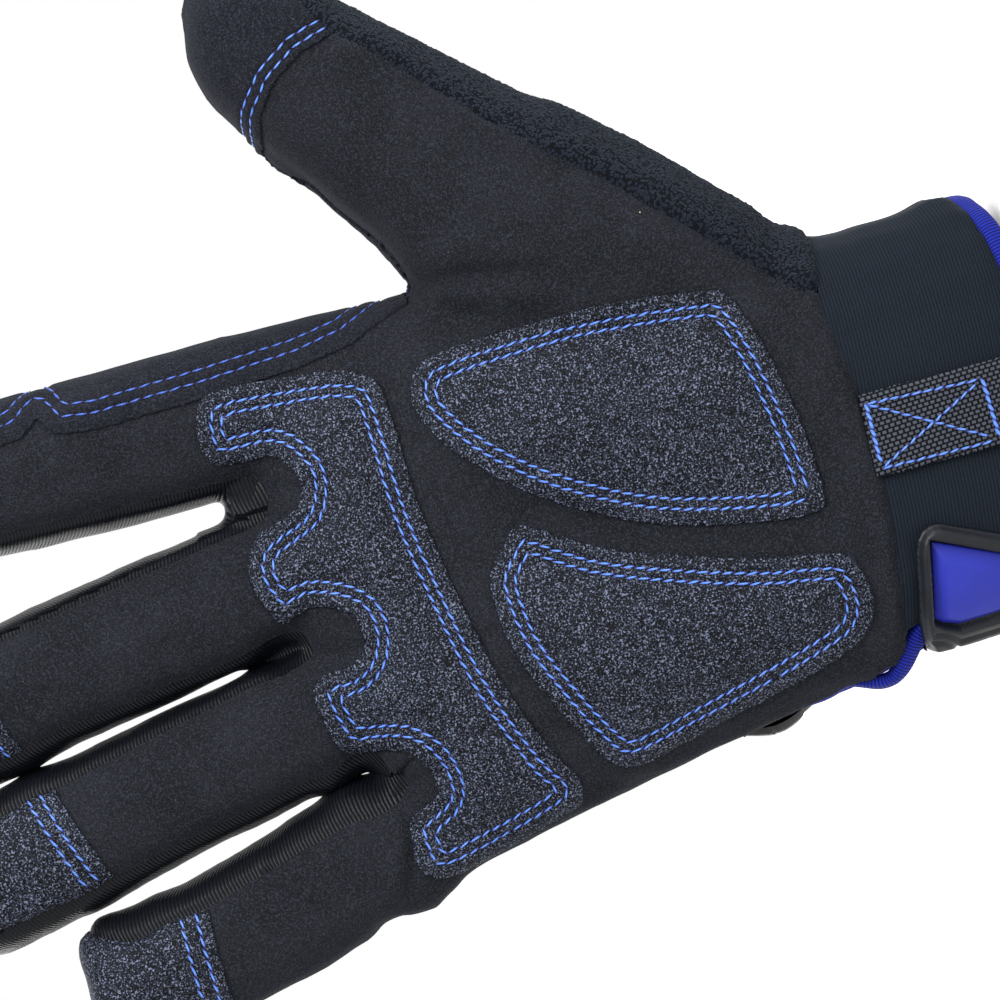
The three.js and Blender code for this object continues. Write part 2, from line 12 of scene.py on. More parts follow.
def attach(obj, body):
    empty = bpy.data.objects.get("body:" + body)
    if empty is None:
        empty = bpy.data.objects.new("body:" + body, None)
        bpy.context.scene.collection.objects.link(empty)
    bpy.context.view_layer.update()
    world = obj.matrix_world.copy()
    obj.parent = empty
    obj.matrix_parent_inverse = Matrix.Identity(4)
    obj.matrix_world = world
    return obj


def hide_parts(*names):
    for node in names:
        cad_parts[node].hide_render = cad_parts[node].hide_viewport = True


# A right-hand work glove. Shapes are worked out in millimetres and each finished piece is scaled to metres.
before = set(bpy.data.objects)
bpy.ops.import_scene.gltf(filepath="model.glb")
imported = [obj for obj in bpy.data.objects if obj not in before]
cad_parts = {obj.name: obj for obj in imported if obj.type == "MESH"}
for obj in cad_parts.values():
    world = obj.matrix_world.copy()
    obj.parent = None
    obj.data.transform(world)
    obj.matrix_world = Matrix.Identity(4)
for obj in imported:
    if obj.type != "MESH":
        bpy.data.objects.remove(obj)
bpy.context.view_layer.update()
scene = bpy.context.scene
mm = 0.001

# ---- camera, light and floor ----

view = {"place": (6.591, -540, 98.829), "right": (-0.258819, 0, -0.965926), "up": (0.965926, 0, -0.258819),
        "lens": 105.235, "sensor": 36}
cameraData = bpy.data.cameras.new("camera")
cameraData.lens = view["lens"]
cameraData.sensor_width = view["sensor"]
cameraData.clip_start = 0.01
camera = bpy.data.objects.new("camera", cameraData)
camera.matrix_world = Matrix.Translation(Vector(view["place"]) * mm) @ Matrix(
    (view["right"], view["up"], (0, -1, 0))).transposed().to_4x4()
scene.collection.objects.link(camera)
scene.camera = camera
scene.view_settings.view_transform = "Standard"  # keeps the white ground white

lamps = {  # place in metres, size in metres, power in watts
    "keyLight": ((0.55, -0.85, 0.75), 0.6, 18),
    "sideLight": ((0.75, -0.25, 0.05), 0.8, 5),
    "backLight": ((-0.5, 0.8, 0.8), 0.9, 7),
}
for name, (place, size, power) in lamps.items():
    lamp = bpy.data.lights.new(name, "AREA")
    lamp.energy = power
    lamp.size = size
    lampObject = bpy.data.objects.new(name, lamp)
    lampObject.location = place
    lampObject.rotation_mode = "QUATERNION"
    lampObject.rotation_quaternion = (Vector((0, 0, 0.1)) - Vector(place)).to_track_quat("-Z", "Y")
    scene.collection.objects.link(lampObject)


def toLinear(hexColor):
    values = [int(hexColor[i:i + 2], 16) / 255 for i in (1, 3, 5)]
    return tuple(v / 12.92 if v <= 0.04045 else ((v + 0.055) / 1.055) ** 2.4 for v in values) + (1,)


def addNode(tree, kind, inputs=None, **settings):
    made = tree.nodes.new(kind)
    for key, value in settings.items():
        setattr(made, key, value)
    for key, value in (inputs or {}).items():
        if isinstance(value, bpy.types.NodeSocket):
            tree.links.new(value, made.inputs[key])
        else:
            made.inputs[key].default_value = value
    return made


world = bpy.data.worlds.new("studio")
world.use_nodes = True
background = world.node_tree.nodes["Background"].inputs
background["Color"].default_value = (1, 1, 1, 1)
background["Strength"].default_value = 1.0
scene.world = world


# ---- materials ----

def startMaterial(name, output="Object"):
    material = bpy.data.materials.new(name)
    material.use_nodes = True
    tree = material.node_tree
    tree.nodes.clear()
    return material, tree, addNode(tree, "ShaderNodeTexCoord").outputs[output]


def closeMaterial(material, color, height, bump, roughness, specular, sheen=0.0, sheenTint=(1, 1, 1),
                  sheenRoughness=0.4):
    # bump is (strength, distance in mm)
    tree = material.node_tree
    bumpNode = addNode(tree, "ShaderNodeBump", {
        "Strength": bump[0], "Distance": bump[1] * mm, "Height": height})
    principled = addNode(tree, "ShaderNodeBsdfPrincipled", {
        "Base Color": color, "Normal": bumpNode.outputs["Normal"], "Roughness": roughness,
        "Specular IOR Level": specular, "Sheen Weight": sheen, "Sheen Roughness": sheenRoughness,
        "Sheen Tint": (*sheenTint, 1)})
    addNode(tree, "ShaderNodeOutputMaterial", {"Surface": principled.outputs["BSDF"]})
    return material


def grainNoise(tree, place, size, detail=2.0, rough=0.5, distortion=0.0):
    # size is the width of one grain in mm
    return addNode(tree, "ShaderNodeTexNoise", {
        "Vector": place, "Scale": 1000 / size, "Detail": detail, "Roughness": rough,
        "Distortion": distortion}).outputs["Fac"]


def combine(tree, operation, a, b=0.0, c=0.0):
    return addNode(tree, "ShaderNodeMath", {0: a, 1: b, 2: c}, operation=operation).outputs["Value"]


def addGrain(tree, height, place, size, share, detail=2.0, rough=0.5):
    # adds a share of a noise to a height
    return combine(tree, "MULTIPLY_ADD", grainNoise(tree, place, size, detail, rough), share, height)


def remap(tree, value, low, high, newLow=0.0, newHigh=1.0):
    return addNode(tree, "ShaderNodeMapRange", {
        "Value": value, "From Min": low, "From Max": high, "To Min": newLow, "To Max": newHigh},
        interpolation_type="SMOOTHSTEP").outputs["Result"]


def mixColor(tree, factor, a, b):
    a, b = (toLinear(color) if isinstance(color, str) else color for color in (a, b))
    return addNode(tree, "ShaderNodeMix", {0: factor, 6: a, 7: b}, data_type="RGBA").outputs[2]


def alongAxis(tree, place, direction, pitch, wobble=0.0, wobbleSize=8):
    # a value that runs through one cycle for each pitch in mm along a direction
    length = math.sqrt(sum(part * part for part in direction))
    scaled = [part / length * 1000 / pitch for part in direction]
    dot = addNode(tree, "ShaderNodeVectorMath", {0: place, 1: scaled}, operation="DOT_PRODUCT").outputs["Value"]
    return addGrain(tree, dot, place, wobbleSize, wobble) if wobble else dot


def alongPiece(tree, pitch, wobble=0.0):
    # the same along the piece itself, by the attribute that counts its mm
    run = addNode(tree, "ShaderNodeAttribute", attribute_name="run").outputs["Fac"]
    return combine(tree, "MULTIPLY_ADD", run, 1 / pitch, wobble)


def ridges(tree, phase):
    # rounded ridges of height 0 to 1, one for each cycle
    return combine(tree, "ABSOLUTE", combine(tree, "SINE", combine(tree, "MULTIPLY", phase, math.pi)))


def addSpecks(tree, place, color, rows):
    # scattered dots of lint: one in each cell of that many mm, kept in a share of the cells
    for cell, radius, share, tint in rows:
        dots = addNode(tree, "ShaderNodeTexVoronoi", {"Vector": place, "Scale": 1000 / cell}).outputs
        near = combine(tree, "LESS_THAN", dots["Distance"], radius / cell)
        chance = addNode(tree, "ShaderNodeSeparateColor", {"Color": dots["Color"]}).outputs[0]
        dot = combine(tree, "MULTIPLY", near, combine(tree, "LESS_THAN", chance, share))
        color = mixColor(tree, dot, color, tint)
    return color


# Microfibre suede: a short brushed nap, dead matt, with a few specks of lint on it
def brushedSuede(name, dark, light):
    material, tree, place = startMaterial(name)
    broad = grainNoise(tree, place, 16, 3, 0.6)
    nap = grainNoise(tree, place, 0.4, 2, 0.7)
    pile = grainNoise(tree, place, 0.26, 2, 0.6)
    color = mixColor(tree, remap(tree, broad, 0.35, 0.65), dark, light)
    color = mixColor(tree, remap(tree, nap, 0.42, 0.72, 0, 0.75), color, "#2e313b")
    color = mixColor(tree, remap(tree, pile, 0.55, 0.3, 0, 0.65), color, "#0a0b0d")
    color = addSpecks(tree, place, color, (
        (3.4, 0.08, 0.3, "#5d5d58"), (7.5, 0.12, 0.3, "#85836f"), (12, 0.15, 0.25, "#a39a62")))
    height = combine(tree, "MULTIPLY_ADD", pile, 0.7, nap)
    return closeMaterial(material, color, height, (0.75, 0.24), 0.95, 0.06, 0.03, (0.75, 0.82, 1.0))


# Coated pad fabric: a leather grain of short worms, with black painted shade in the crevices between its grey tops and
# a painted highlight on the highest tops
def wormyGrain(name):
    material, tree, place = startMaterial(name)
    height = addGrain(tree, grainNoise(tree, place, 0.34, 1, 0.5, 0.3), place, 0.9, 0.12, 1)
    height = addGrain(tree, height, place, 0.2, 0.16)
    tops = remap(tree, height, 0.53, 0.8)
    wear = grainNoise(tree, place, 14, 3, 0.6)
    top = mixColor(tree, remap(tree, wear, 0.35, 0.65), "#2b2f3b", "#353a48")
    # a painted highlight on the highest tops of the grain
    top = mixColor(tree, remap(tree, height, 0.71, 0.86), top, "#5f667a")
    # painted shade: the crevices below the tops turn near black
    color = addSpecks(tree, place, mixColor(tree, tops, "#030406", top), ((6.5, 0.09, 0.25, "#96948a"),))
    return closeMaterial(material, color, tops, (0.8, 0.2), 0.6, 0.1)


# Terry: standing loops of crimped yarn, each a small ring round a middle darkened with painted shade
def loopTerry(name):
    material, tree, place = startMaterial(name)
    cells = addNode(tree, "ShaderNodeTexVoronoi", {"Vector": place, "Scale": 1000 / 0.58}).outputs["Distance"]
    rings = combine(tree, "MULTIPLY", remap(tree, cells, 0.02, 0.26), remap(tree, cells, 0.62, 0.36))
    height = addGrain(tree, rings, place, 0.3, 0.5, 2, 0.6)
    # painted shade: the lower the loops lie, the darker their colour
    color = mixColor(tree, remap(tree, height, 0.1, 1.3), "#080a0f", "#1a212c")
    return closeMaterial(material, color, height, (1.0, 0.5), 0.95, 0.08, 0.06, (0.7, 0.8, 1.0))


# Elastic side strips: fine cords laid at a slant, slightly lustrous nylon
def slantedRib(name):
    material, tree, place = startMaterial(name)
    ribs = ridges(tree, alongPiece(tree, 0.68, combine(tree, "MULTIPLY", grainNoise(tree, place, 5), 0.4)))
    height = addGrain(tree, ribs, place, 0.22, 0.25)
    return closeMaterial(material, mixColor(tree, ribs, "#020203", "#0e1016"), height, (0.8, 0.2), 0.36, 0.13)


# Stretch knit of the back: columns of small loops
def stretchKnit(name):
    material, tree, place = startMaterial(name)
    columns = ridges(tree, alongAxis(tree, place, (0.85, 0.53, 0), 0.8, 0.5, 12))
    rows = ridges(tree, alongAxis(tree, place, (0.45, 0, 1), 0.6, 0.5, 12))
    height = combine(tree, "MULTIPLY", columns, rows)
    color = mixColor(tree, height, "#0a0b0d", "#23262c")
    return closeMaterial(material, color, height, (0.6, 0.25), 0.85, 0.12, 0.05)


# Neoprene laminated with a fine jersey: faint courses run level with the rim
def jerseyNeoprene(name):
    material, tree, place = startMaterial(name)
    courses = ridges(tree, alongAxis(tree, place, (0.06, -0.18, 1), 0.62, 0.5, 10))
    wales = ridges(tree, alongAxis(tree, place, (1, 0, 0), 0.42, 0.4, 10))
    height = addGrain(tree, combine(tree, "MULTIPLY_ADD", wales, 0.45, courses), place, 0.3, 0.5)
    color = mixColor(tree, remap(tree, height, 0.4, 1.5), "#090c10", "#161c24")
    color = addSpecks(tree, place, color, ((7.5, 0.1, 0.3, "#6f726c"),))
    return closeMaterial(material, color, height, (0.26, 0.09), 0.9, 0.08, 0.05, (0.75, 0.85, 1.0))


# Folded binding tape: fine cross ribs along its whole run
def ribbedTape(name):
    material, tree, place = startMaterial(name)
    ribs = ridges(tree, alongPiece(tree, 0.62))
    height = addGrain(tree, ribs, place, 0.25, 0.3)
    return closeMaterial(material, mixColor(tree, ribs, "#05092e", "#15228c"), height, (0.9, 0.26), 0.6, 0.1, 0.02)


# Polyester webbing: rows of short floats, staggered like bricks, with painted glints on the floats and black painted
# shade in the gaps between them
def basketWeave(name, rowsAlong, row=0.8, floatLength=1.12):
    # the rows run along the piece or across it; their pitch and the floats' length are in mm
    material, tree, place = startMaterial(name)
    upright = alongAxis(tree, place, (0, 0, 1), row if rowsAlong else floatLength)
    level = alongPiece(tree, floatLength if rowsAlong else row)
    rows, floats = (upright, level) if rowsAlong else (level, upright)
    shifted = combine(tree, "MULTIPLY_ADD", combine(tree, "FLOOR", rows), 0.5, floats)
    yarn = combine(tree, "MULTIPLY", remap(tree, ridges(tree, rows), 0.1, 0.75),
                   remap(tree, ridges(tree, shifted), 0.15, 0.7))
    height = addGrain(tree, yarn, place, 0.2, 0.2)
    # painted glints on the floats' tops and painted shade in the gaps between them
    color = mixColor(tree, remap(tree, height, 0.25, 1.05), "#010102", "#3c404a")
    return closeMaterial(material, color, height, (0.9, 0.3), 0.45, 0.1)


# Moulded rubber: satin skin with a trace of the mould's blasting
def mouldedRubber(name, dark, light, roughness, gloss):
    material, tree, place = startMaterial(name)
    color = mixColor(tree, remap(tree, grainNoise(tree, place, 7, 3), 0.3, 0.7), dark, light)
    return closeMaterial(material, color, grainNoise(tree, place, 0.4, 3, 0.6), (0.25, 0.06), roughness, gloss)


# Twisted polyester thread: bright where it lies on top, with painted shade towards its ends where it dips into the
# cloth
def twistedThread(name, bright, dipShade):
    material, tree, place = startMaterial(name, "UV")
    split = addNode(tree, "ShaderNodeSeparateXYZ", {"Vector": place}).outputs
    fromMiddle = combine(tree, "ABSOLUTE", combine(tree, "SUBTRACT", split["Y"], 0.5))
    turns = combine(tree, "MULTIPLY", split["Y"], 3.0)
    twist = ridges(tree, combine(tree, "MULTIPLY_ADD", split["X"], 2.0, turns))
    # painted shade towards each stitch's ends, where it dips into the cloth
    color = mixColor(tree, remap(tree, fromMiddle, 0.1, 0.32), bright, dipShade)
    return closeMaterial(material, color, twist, (0.5, 0.12), 0.42, 0.5, 0.1, sheenRoughness=0.5)


suede = brushedSuede("microfibre_suede", "#141518", "#1b1c20")
patchSuede = brushedSuede("patch_suede", "#13141a", "#1a1b20")
padGrain = wormyGrain("grained_pad_fabric")
terry = loopTerry("terry_loops")
rib = slantedRib("ribbed_nylon")
knit = stretchKnit("stretch_knit")
neoprene = jerseyNeoprene("neoprene_jersey")
tape = ribbedTape("binding_tape")
webbing = basketWeave("webbing_weave", False)
strapWeave = basketWeave("strap_weave", True)
rubber = mouldedRubber("moulded_rubber", "#0a0d13", "#0f131a", 0.42, 0.25)
guardRubber = mouldedRubber("guard_rubber", "#08090b", "#0d0e11", 0.22, 0.35)
blueRubber = mouldedRubber("blue_rubber", "#141e84", "#18228c", 0.5, 0.3)
blueThread = twistedThread("blue_thread", "#4a76d2", "#101562")
innerThread = twistedThread("saddle_thread", "#2c50a8", "#0d1150")
blackThread = twistedThread("black_thread", "#232326", "#0c0c0d")
ground = mouldedRubber("pale_floor", "#f2f2f0", "#f6f6f4", 0.9, 0.5)


# ---- mesh helpers ----

def asObject(name, bm):
    mesh = bpy.data.meshes.new(name)
    bm.to_mesh(mesh)
    bm.free()
    made = bpy.data.objects.new(name, mesh)
    scene.collection.objects.link(made)
    return made


floorShape = {"half": 900, "level": -2.6}
floorMesh = bmesh.new()
bmesh.ops.create_grid(floorMesh, x_segments=8, y_segments=8, size=floorShape["half"] * mm)
bmesh.ops.translate(floorMesh, vec=(0, 0, floorShape["level"] * mm), verts=floorMesh.verts)
floor = asObject("floor", floorMesh)
floor.data.materials.append(ground)


def finishPiece(name, bm, material, nodes=()):
    bmesh.ops.scale(bm, vec=(mm, mm, mm), verts=bm.verts)
    piece = asObject(name, bm)
    piece.data.polygons.foreach_set("use_smooth", [True] * len(piece.data.polygons))
    piece.data.materials.append(material)
    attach(piece, "root")
    if nodes:
        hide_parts(*nodes)
    print("made", name, len(piece.data.polygons), "faces")


def nodeMesh(*names):
    # a merged copy of CAD nodes, in mm
    bm = bmesh.new()
    for name in names:
        bm.from_mesh(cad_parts[name].data)
    bmesh.ops.remove_doubles(bm, verts=bm.verts, dist=2e-6)
    bmesh.ops.scale(bm, vec=(1000, 1000, 1000), verts=bm.verts)
    return bm


def placesOf(bm):
    return np.array([vert.co[:] for vert in bm.verts])


def meshPlaces(mesh):
    flat = np.empty(len(mesh.vertices) * 3)
    mesh.vertices.foreach_get("co", flat)
    return flat.reshape(-1, 3)


def evaluated(obj):
    return bpy.data.meshes.new_from_object(obj.evaluated_get(bpy.context.evaluated_depsgraph_get()))


def smoothSteps(value, low, high):
    t = np.clip((value - low) / (high - low), 0, 1)
    return t * t * (3 - 2 * t)


def noiseAt(points, size, seed=0):
    shift = Vector((seed * 17.3, seed * 5.1, seed * 9.7))
    return np.array([noise.noise(Vector(point) / size + shift) for point in points])


def bell(distance, width):
    return np.exp(-(distance / width) ** 2)


def treeOf(points):
    tree = KDTree(len(points))
    for index, point in enumerate(points):
        tree.insert(Vector(point), index)
    tree.balance()
    return tree


def runsOf(points):
    # how far along a line each of its points lies
    return np.concatenate(([0], np.cumsum(np.linalg.norm(np.diff(points, axis=0), axis=1))))


def placesAt(stations, runs, points):
    return np.stack([np.interp(stations, runs, points[:, axis]) for axis in range(3)], axis=-1)


trees = {}


def distanceTo(name, points, reach):
    # distance in mm from points to a CAD node, or reach where it is further
    if name not in trees:
        bm = nodeMesh(name)
        trees[name] = (BVHTree.FromBMesh(bm), placesOf(bm).min(axis=0), placesOf(bm).max(axis=0))
        bm.free()
    tree, low, high = trees[name]
    near = np.all((points > low - reach) & (points < high + reach), axis=1)
    result = np.full(len(points), float(reach))
    for index in np.nonzero(near)[0]:
        found = tree.find_nearest(Vector(points[index]), reach)[3]
        if found is not None:
            result[index] = found
    return result


def inPicture(points):
    return points[:, [0, 2]] if points.shape[1] == 3 else points


def nearLine(points, line, closed=False):
    # in the picture plane (x, z): the points' distance to a line, how far along it they lie from 0 to 1, and
    # the distance with its side's sign, positive to the right of the line's run
    points = inPicture(points)
    start = np.array(line, float)
    end = np.roll(start, -1, axis=0)
    if not closed:
        start, end = start[:-1], end[:-1]
    step = end - start
    lengths = np.linalg.norm(step, axis=1)
    before = np.concatenate(([0], np.cumsum(lengths)[:-1]))
    best, along, side = np.full(len(points), 1e9), np.zeros(len(points)), np.zeros(len(points))
    for a, ab, length, passed in zip(start, step, lengths, before):
        offset = points - a
        t = np.clip((offset @ ab) / max(length * length, 1e-9), 0, 1)
        gap = np.hypot(offset[:, 0] - t * ab[0], offset[:, 1] - t * ab[1])
        closer = gap < best
        best[closer] = gap[closer]
        along[closer] = (passed + t[closer] * length) / lengths.sum()
        side[closer] = -np.sign(ab[0] * offset[:, 1] - ab[1] * offset[:, 0])[closer]
    return best, along, best * side


def sideOf(points, line):
    return nearLine(points, line)[2]


def outlineLevel(points, outline):
    # distance in mm to an outline in the picture plane, negative inside it
    points = inPicture(points)
    inside = np.zeros(len(points), bool)
    for (ax, az), (bx, bz) in zip(outline, np.roll(outline, -1, axis=0)):
        if az == bz:
            continue
        crosses = (az > points[:, 1]) != (bz > points[:, 1])
        inside ^= crosses & (points[:, 0] < (bx - ax) * (points[:, 1] - az) / (bz - az) + ax)
    gap = nearLine(points, outline, closed=True)[0]
    return np.where(inside, -gap, gap)


def rounded(outline, steps=5):
    # a closed smooth curve through the outline's points
    points = np.array(outline, float)
    before, after, later = np.roll(points, 1, axis=0), np.roll(points, -1, axis=0), np.roll(points, -2, axis=0)
    rows = []
    for t in np.arange(steps) / steps:
        rows.append(0.5 * (2 * points + (after - before) * t + (2 * before - 5 * points + 4 * after - later) * t ** 2
                           + (3 * points - before - 3 * after + later) * t ** 3))
    return np.stack(rows, axis=1).reshape(-1, points.shape[1])


def keepValues(bm, name, values):
    layer = bm.verts.layers.float.get(name) or bm.verts.layers.float.new(name)
    for vert, value in zip(bm.verts, values):
        vert[layer] = value


def valuesOf(bm, name):
    layer = bm.verts.layers.float[name]
    return np.array([vert[layer] for vert in bm.verts])


def setLevel(bm, values, snap=0.04):
    keepValues(bm, "level", np.where(np.abs(values) > snap, values, 0.0))


def cutAlong(bm):
    # cuts the faces along the line where the level is 0, and drops what is above it
    layer = bm.verts.layers.float["level"]
    for edge in [edge for edge in bm.edges if edge.verts[0][layer] * edge.verts[1][layer] < 0]:
        a, b = edge.verts
        part = a[layer] / (a[layer] - b[layer])
        bmesh.utils.edge_split(edge, a, part)[1][layer] = 0.0
    bmesh.ops.connect_verts(bm, verts=[vert for vert in bm.verts if vert[layer] == 0.0])
    above = [face for face in bm.faces if sum(vert[layer] for vert in face.verts) > 0]
    bmesh.ops.delete(bm, geom=above, context="FACES")
    bm.verts.index_update()


def edgeDistance(bm, reach=12, spacing=0.3):
    # distance of each vertex to the piece's edge, which is taken as points at that spacing
    points = []
    for edge in bm.edges:
        if edge.is_boundary:
            a, b = edge.verts
            count = max(1, int((a.co - b.co).length / spacing))
            points.extend(a.co.lerp(b.co, i / count) for i in range(count))
    tree = treeOf(points)
    return np.array([min(reach, tree.find(vert.co)[2]) for vert in bm.verts])


def keepUps(bm):
    # remembers which way is up from the cloth at each vertex
    bm.normal_update()
    layer = bm.verts.layers.float_vector.new("up")
    for vert in bm.verts:
        vert[layer] = vert.normal


def trim(bm, levelOf):
    # cuts a piece where the level of its points is 0, and gives back the points that stay
    keepUps(bm)
    setLevel(bm, levelOf(placesOf(bm)))
    cutAlong(bm)
    return placesOf(bm)


def lift(bm, heights):
    layer = bm.verts.layers.float_vector["up"]
    for vert, height in zip(bm.verts, heights):
        vert.co += vert[layer] * height


def raiseBy(bm, heights, sink):
    # lifts each vertex by its height and closes the sides down to a depth below the cloth
    lift(bm, heights)
    layer = bm.verts.layers.float_vector["up"]
    bm.verts.index_update()
    edges = [edge for edge in bm.edges if edge.is_boundary]
    pairs = {}
    for edge in edges:
        for vert in edge.verts:
            pairs[vert.co.copy().freeze()] = heights[vert.index]
    made = bmesh.ops.extrude_edge_only(bm, edges=edges)["geom"]
    for vert in made:
        if isinstance(vert, bmesh.types.BMVert):
            height = pairs[vert.co.copy().freeze()]
            vert.co -= vert[layer] * (height + sink)
    bm.verts.index_update()


def contours(bm, level):
    # the lines on the mesh where the row value passes a level, as lists of (place, up)
    flat = bm.copy()
    bmesh.ops.triangulate(flat, faces=flat.faces)
    flat.edges.index_update()
    layer = flat.verts.layers.float_vector["up"]
    row = flat.verts.layers.float["row"]
    crossing = {}
    for edge in flat.edges:
        a, b = edge.verts
        va, vb = a[row] - level, b[row] - level
        if (va < 0) != (vb < 0):
            part = va / (va - vb)
            crossing[edge.index] = (a.co.lerp(b.co, part), a[layer].lerp(b[layer], part).normalized())
    links = defaultdict(list)
    for face in flat.faces:
        found = [edge.index for edge in face.edges if edge.index in crossing]
        for one, other in zip(found[::2], found[1::2]):
            links[one].append(other)
            links[other].append(one)
    flat.free()
    ends = sorted((key for key in links if len(links[key]) == 1), key=lambda key: tuple(crossing[key][0]),
                  reverse=True)
    lines, seen = [], set()
    for start in ends + list(links):  # an open line always starts at the same end
        if start in seen:
            continue
        line, current = [], start
        while current is not None:
            seen.add(current)
            line.append(crossing[current])
            current = next((other for other in links[current] if other not in seen), None)
        if len(line) > 8 and (line[0][0] - line[-1][0]).length < 1.2:
            line.append(line[0])
        if len(line) > 4:
            lines.append(line)
    return lines


# ---- the binding tape's run ----

tapeShape = {"height": 3.8, "thick": 2.6, "corners": 14}
tapePath = [
    (-30.0, -16.1, 1.5), (-26.9, -17.7, 0.6), (-23.6, -19.2, 0.6), (-20.1, -20.2, 0.3), (-16.5, -20.8, 0.1),
    (-12.9, -21.3, 0.0), (-9.3, -21.6, -0.1), (-5.7, -21.7, -0.1), (-2.0, -21.8, -0.2), (1.7, -21.8, -0.2),
    (5.3, -21.8, -0.1), (9.0, -21.6, -0.1), (12.6, -21.4, 0.0), (16.2, -20.9, 0.1), (19.8, -20.3, 0.3),
    (23.3, -19.4, 0.5), (26.7, -18.1, 0.9), (29.9, -16.4, 1.4), (32.7, -14.2, 2.1), (34.9, -11.4, 2.9),
    (36.8, -8.2, 3.8), (37.7, -4.7, 4.8), (37.9, -1.2, 5.7), (37.7, 2.3, 6.6), (36.8, 5.8, 7.3), (35.2, 9.1, 7.9),
    (32.7, 11.9, 8.5), (29.8, 14.2, 8.9), (26.6, 15.9, 9.2), (23.2, 17.1, 9.5), (19.7, 18.1, 9.6),
    (16.1, 18.7, 9.7), (12.5, 19.1, 9.8), (8.8, 19.3, 9.9), (5.2, 19.5, 9.9), (1.6, 19.5, 9.9), (-2.1, 19.5, 9.9),
    (-5.8, 19.5, 9.9), (-9.4, 19.3, 9.9), (-13.1, 19.0, 9.8), (-16.7, 18.6, 9.7), (-20.2, 17.8, 9.6),
    (-23.7, 16.9, 9.4), (-27.1, 15.5, 9.1), (-30.2, 13.7, 8.8), (-32.9, 11.3, 8.3), (-34.9, 8.3, 7.9),
    (-36.0, 7.6, 10.3), (-36.4, 7.8, 13.9), (-36.9, 7.7, 17.5), (-37.5, 7.4, 21.1), (-38.1, 7.0, 24.7),
    (-38.9, 6.5, 28.2), (-39.7, 5.9, 31.7), (-40.8, 5.4, 35.2), (-41.7, 4.8, 38.7), (-42.3, 3.9, 42.2),
    (-42.8, 3.2, 45.7), (-43.2, 2.5, 49.2), (-43.7, 1.4, 52.6), (-43.6, -1.0, 52.8), (-43.0, -3.5, 50.0),
    (-41.6, -6.0, 46.4), (-42.2, -8.0, 43.7), (-43.1, -9.5, 41.2), (-42.9, -10.5, 38.4), (-41.2, -11.6, 36.3),
    (-39.0, -12.6, 34.6), (-36.2, -13.8, 32.4), (-34.4, -14.8, 29.5), (-33.3, -15.5, 26.5), (-32.5, -16.0, 23.0),
    (-31.8, -16.2, 19.5),
    (-31.2, -16.3, 15.9), (-30.8, -16.3, 12.3), (-30.8, -16.1, 8.6), (-30.8, -15.9, 5.0)]


def evenPath(points, step):
    # a closed smooth path through the points, at even steps
    points = rounded(points, 6)
    closed = np.vstack([points, points[:1]])
    runs = runsOf(closed)
    count = int(runs[-1] / step)
    even = placesAt(np.arange(count) * runs[-1] / count, runs, closed)
    for _ in range(2):
        even = (np.roll(even, 1, axis=0) + 2 * even + np.roll(even, -1, axis=0)) / 4
    return even, runs[-1] / count


path, stationStep = evenPath(tapePath, 0.62)


# ---- the sewn cloth as one smooth skin ----

clothNodes = ("palm_panel", "back_panel", "thumb_terry", "fourchette_index_middle", "fourchette_middle_ring",
              "fourchette_ring_little", "cuff")
skinShape = {
    "overlap": 0.35,      # closes the gaps between the CAD's pieces
    "voxel": 0.9,
    "spread": 1.5, "spreadReach": 9, "spreadFrom": {1: (0.5, 8), 2: (1, 9)},
    "blade": 2.0,         # half the width of the cut between the backs of the middle and ring fingers
    "rounds": 40,         # rounds of smoothing, which take the facets out
    "rimKept": (2.5, 10),  # no smoothing nearer to the binding than this, all of it beyond
    "rimWall": 3.6,       # nearer to the binding than this, the outside turns into the inside
    "rimInTape": (2.4, 1.0), "rimDepth": 0.7,
    "seamDepth": 0.48, "seamWidth": 1.05,
}
gapLines = {1: [(-10.2, 144), (-11.75, 153), (-13.0, 160), (-15.05, 172), (-16.8, 182), (-18.35, 190), (-20.2, 200),
                (-21.1, 214)],
            2: [(-35.3, 132.9), (-39.3, 154.9), (-45.1, 175.5), (-48.9, 193.6)],
            3: [(17.8, 146.2), (16.2, 191.7)]}


def spreadMoves(points, across):
    # how far the fingers beside the closed gaps are held apart while the cloth is joined
    moves = np.zeros(len(points))
    for side, signed in across.items():
        gap, along, _ = nearLine(points, gapLines[side])
        length = runsOf(np.array(gapLines[side]))[-1]
        moves += skinShape["spread"] * smoothSteps(along * length, *skinShape["spreadFrom"][side]) * bell(
            gap, skinShape["spreadReach"]) * np.clip(signed / 0.6, -1, 1)
    return moves


def addModifier(obj, kind, **settings):
    made = obj.modifiers.new(kind.lower(), kind)
    for key, value in settings.items():
        setattr(made, key, value)


print("joining the cloth")
joined = nodeMesh(*clothNodes)
joinedPlaces = placesOf(joined)
fullAcross = {side: sideOf(joinedPlaces, gapLines[side]) * 100 for side in (1, 2)}
for vert, move in zip(joined.verts, spreadMoves(joinedPlaces, fullAcross)):
    vert.co.x += move
body = asObject("skin", joined)
bladeLine = np.array(gapLines[1][1:])
bladeRing = [(-11.5, 150.5)] + [(x + skinShape["blade"], z) for x, z in bladeLine] \
    + [(x - skinShape["blade"], z) for x, z in bladeLine[::-1]]
bladeMesh = bmesh.new()
bladeFace = bladeMesh.faces.new([bladeMesh.verts.new((x, -30, z)) for x, z in bladeRing])
dipShade = bmesh.ops.extrude_face_region(bladeMesh, geom=[bladeFace])["geom"]
bmesh.ops.translate(bladeMesh, vec=(0, 60, 0), verts=[item for item in dipShade if isinstance(item, bmesh.types.BMVert)])
bmesh.ops.triangulate(bladeMesh, faces=bladeMesh.faces)
bmesh.ops.recalc_face_normals(bladeMesh, faces=bladeMesh.faces)
blade = asObject("blade", bladeMesh)
addModifier(body, "DISPLACE", strength=skinShape["overlap"], mid_level=0)
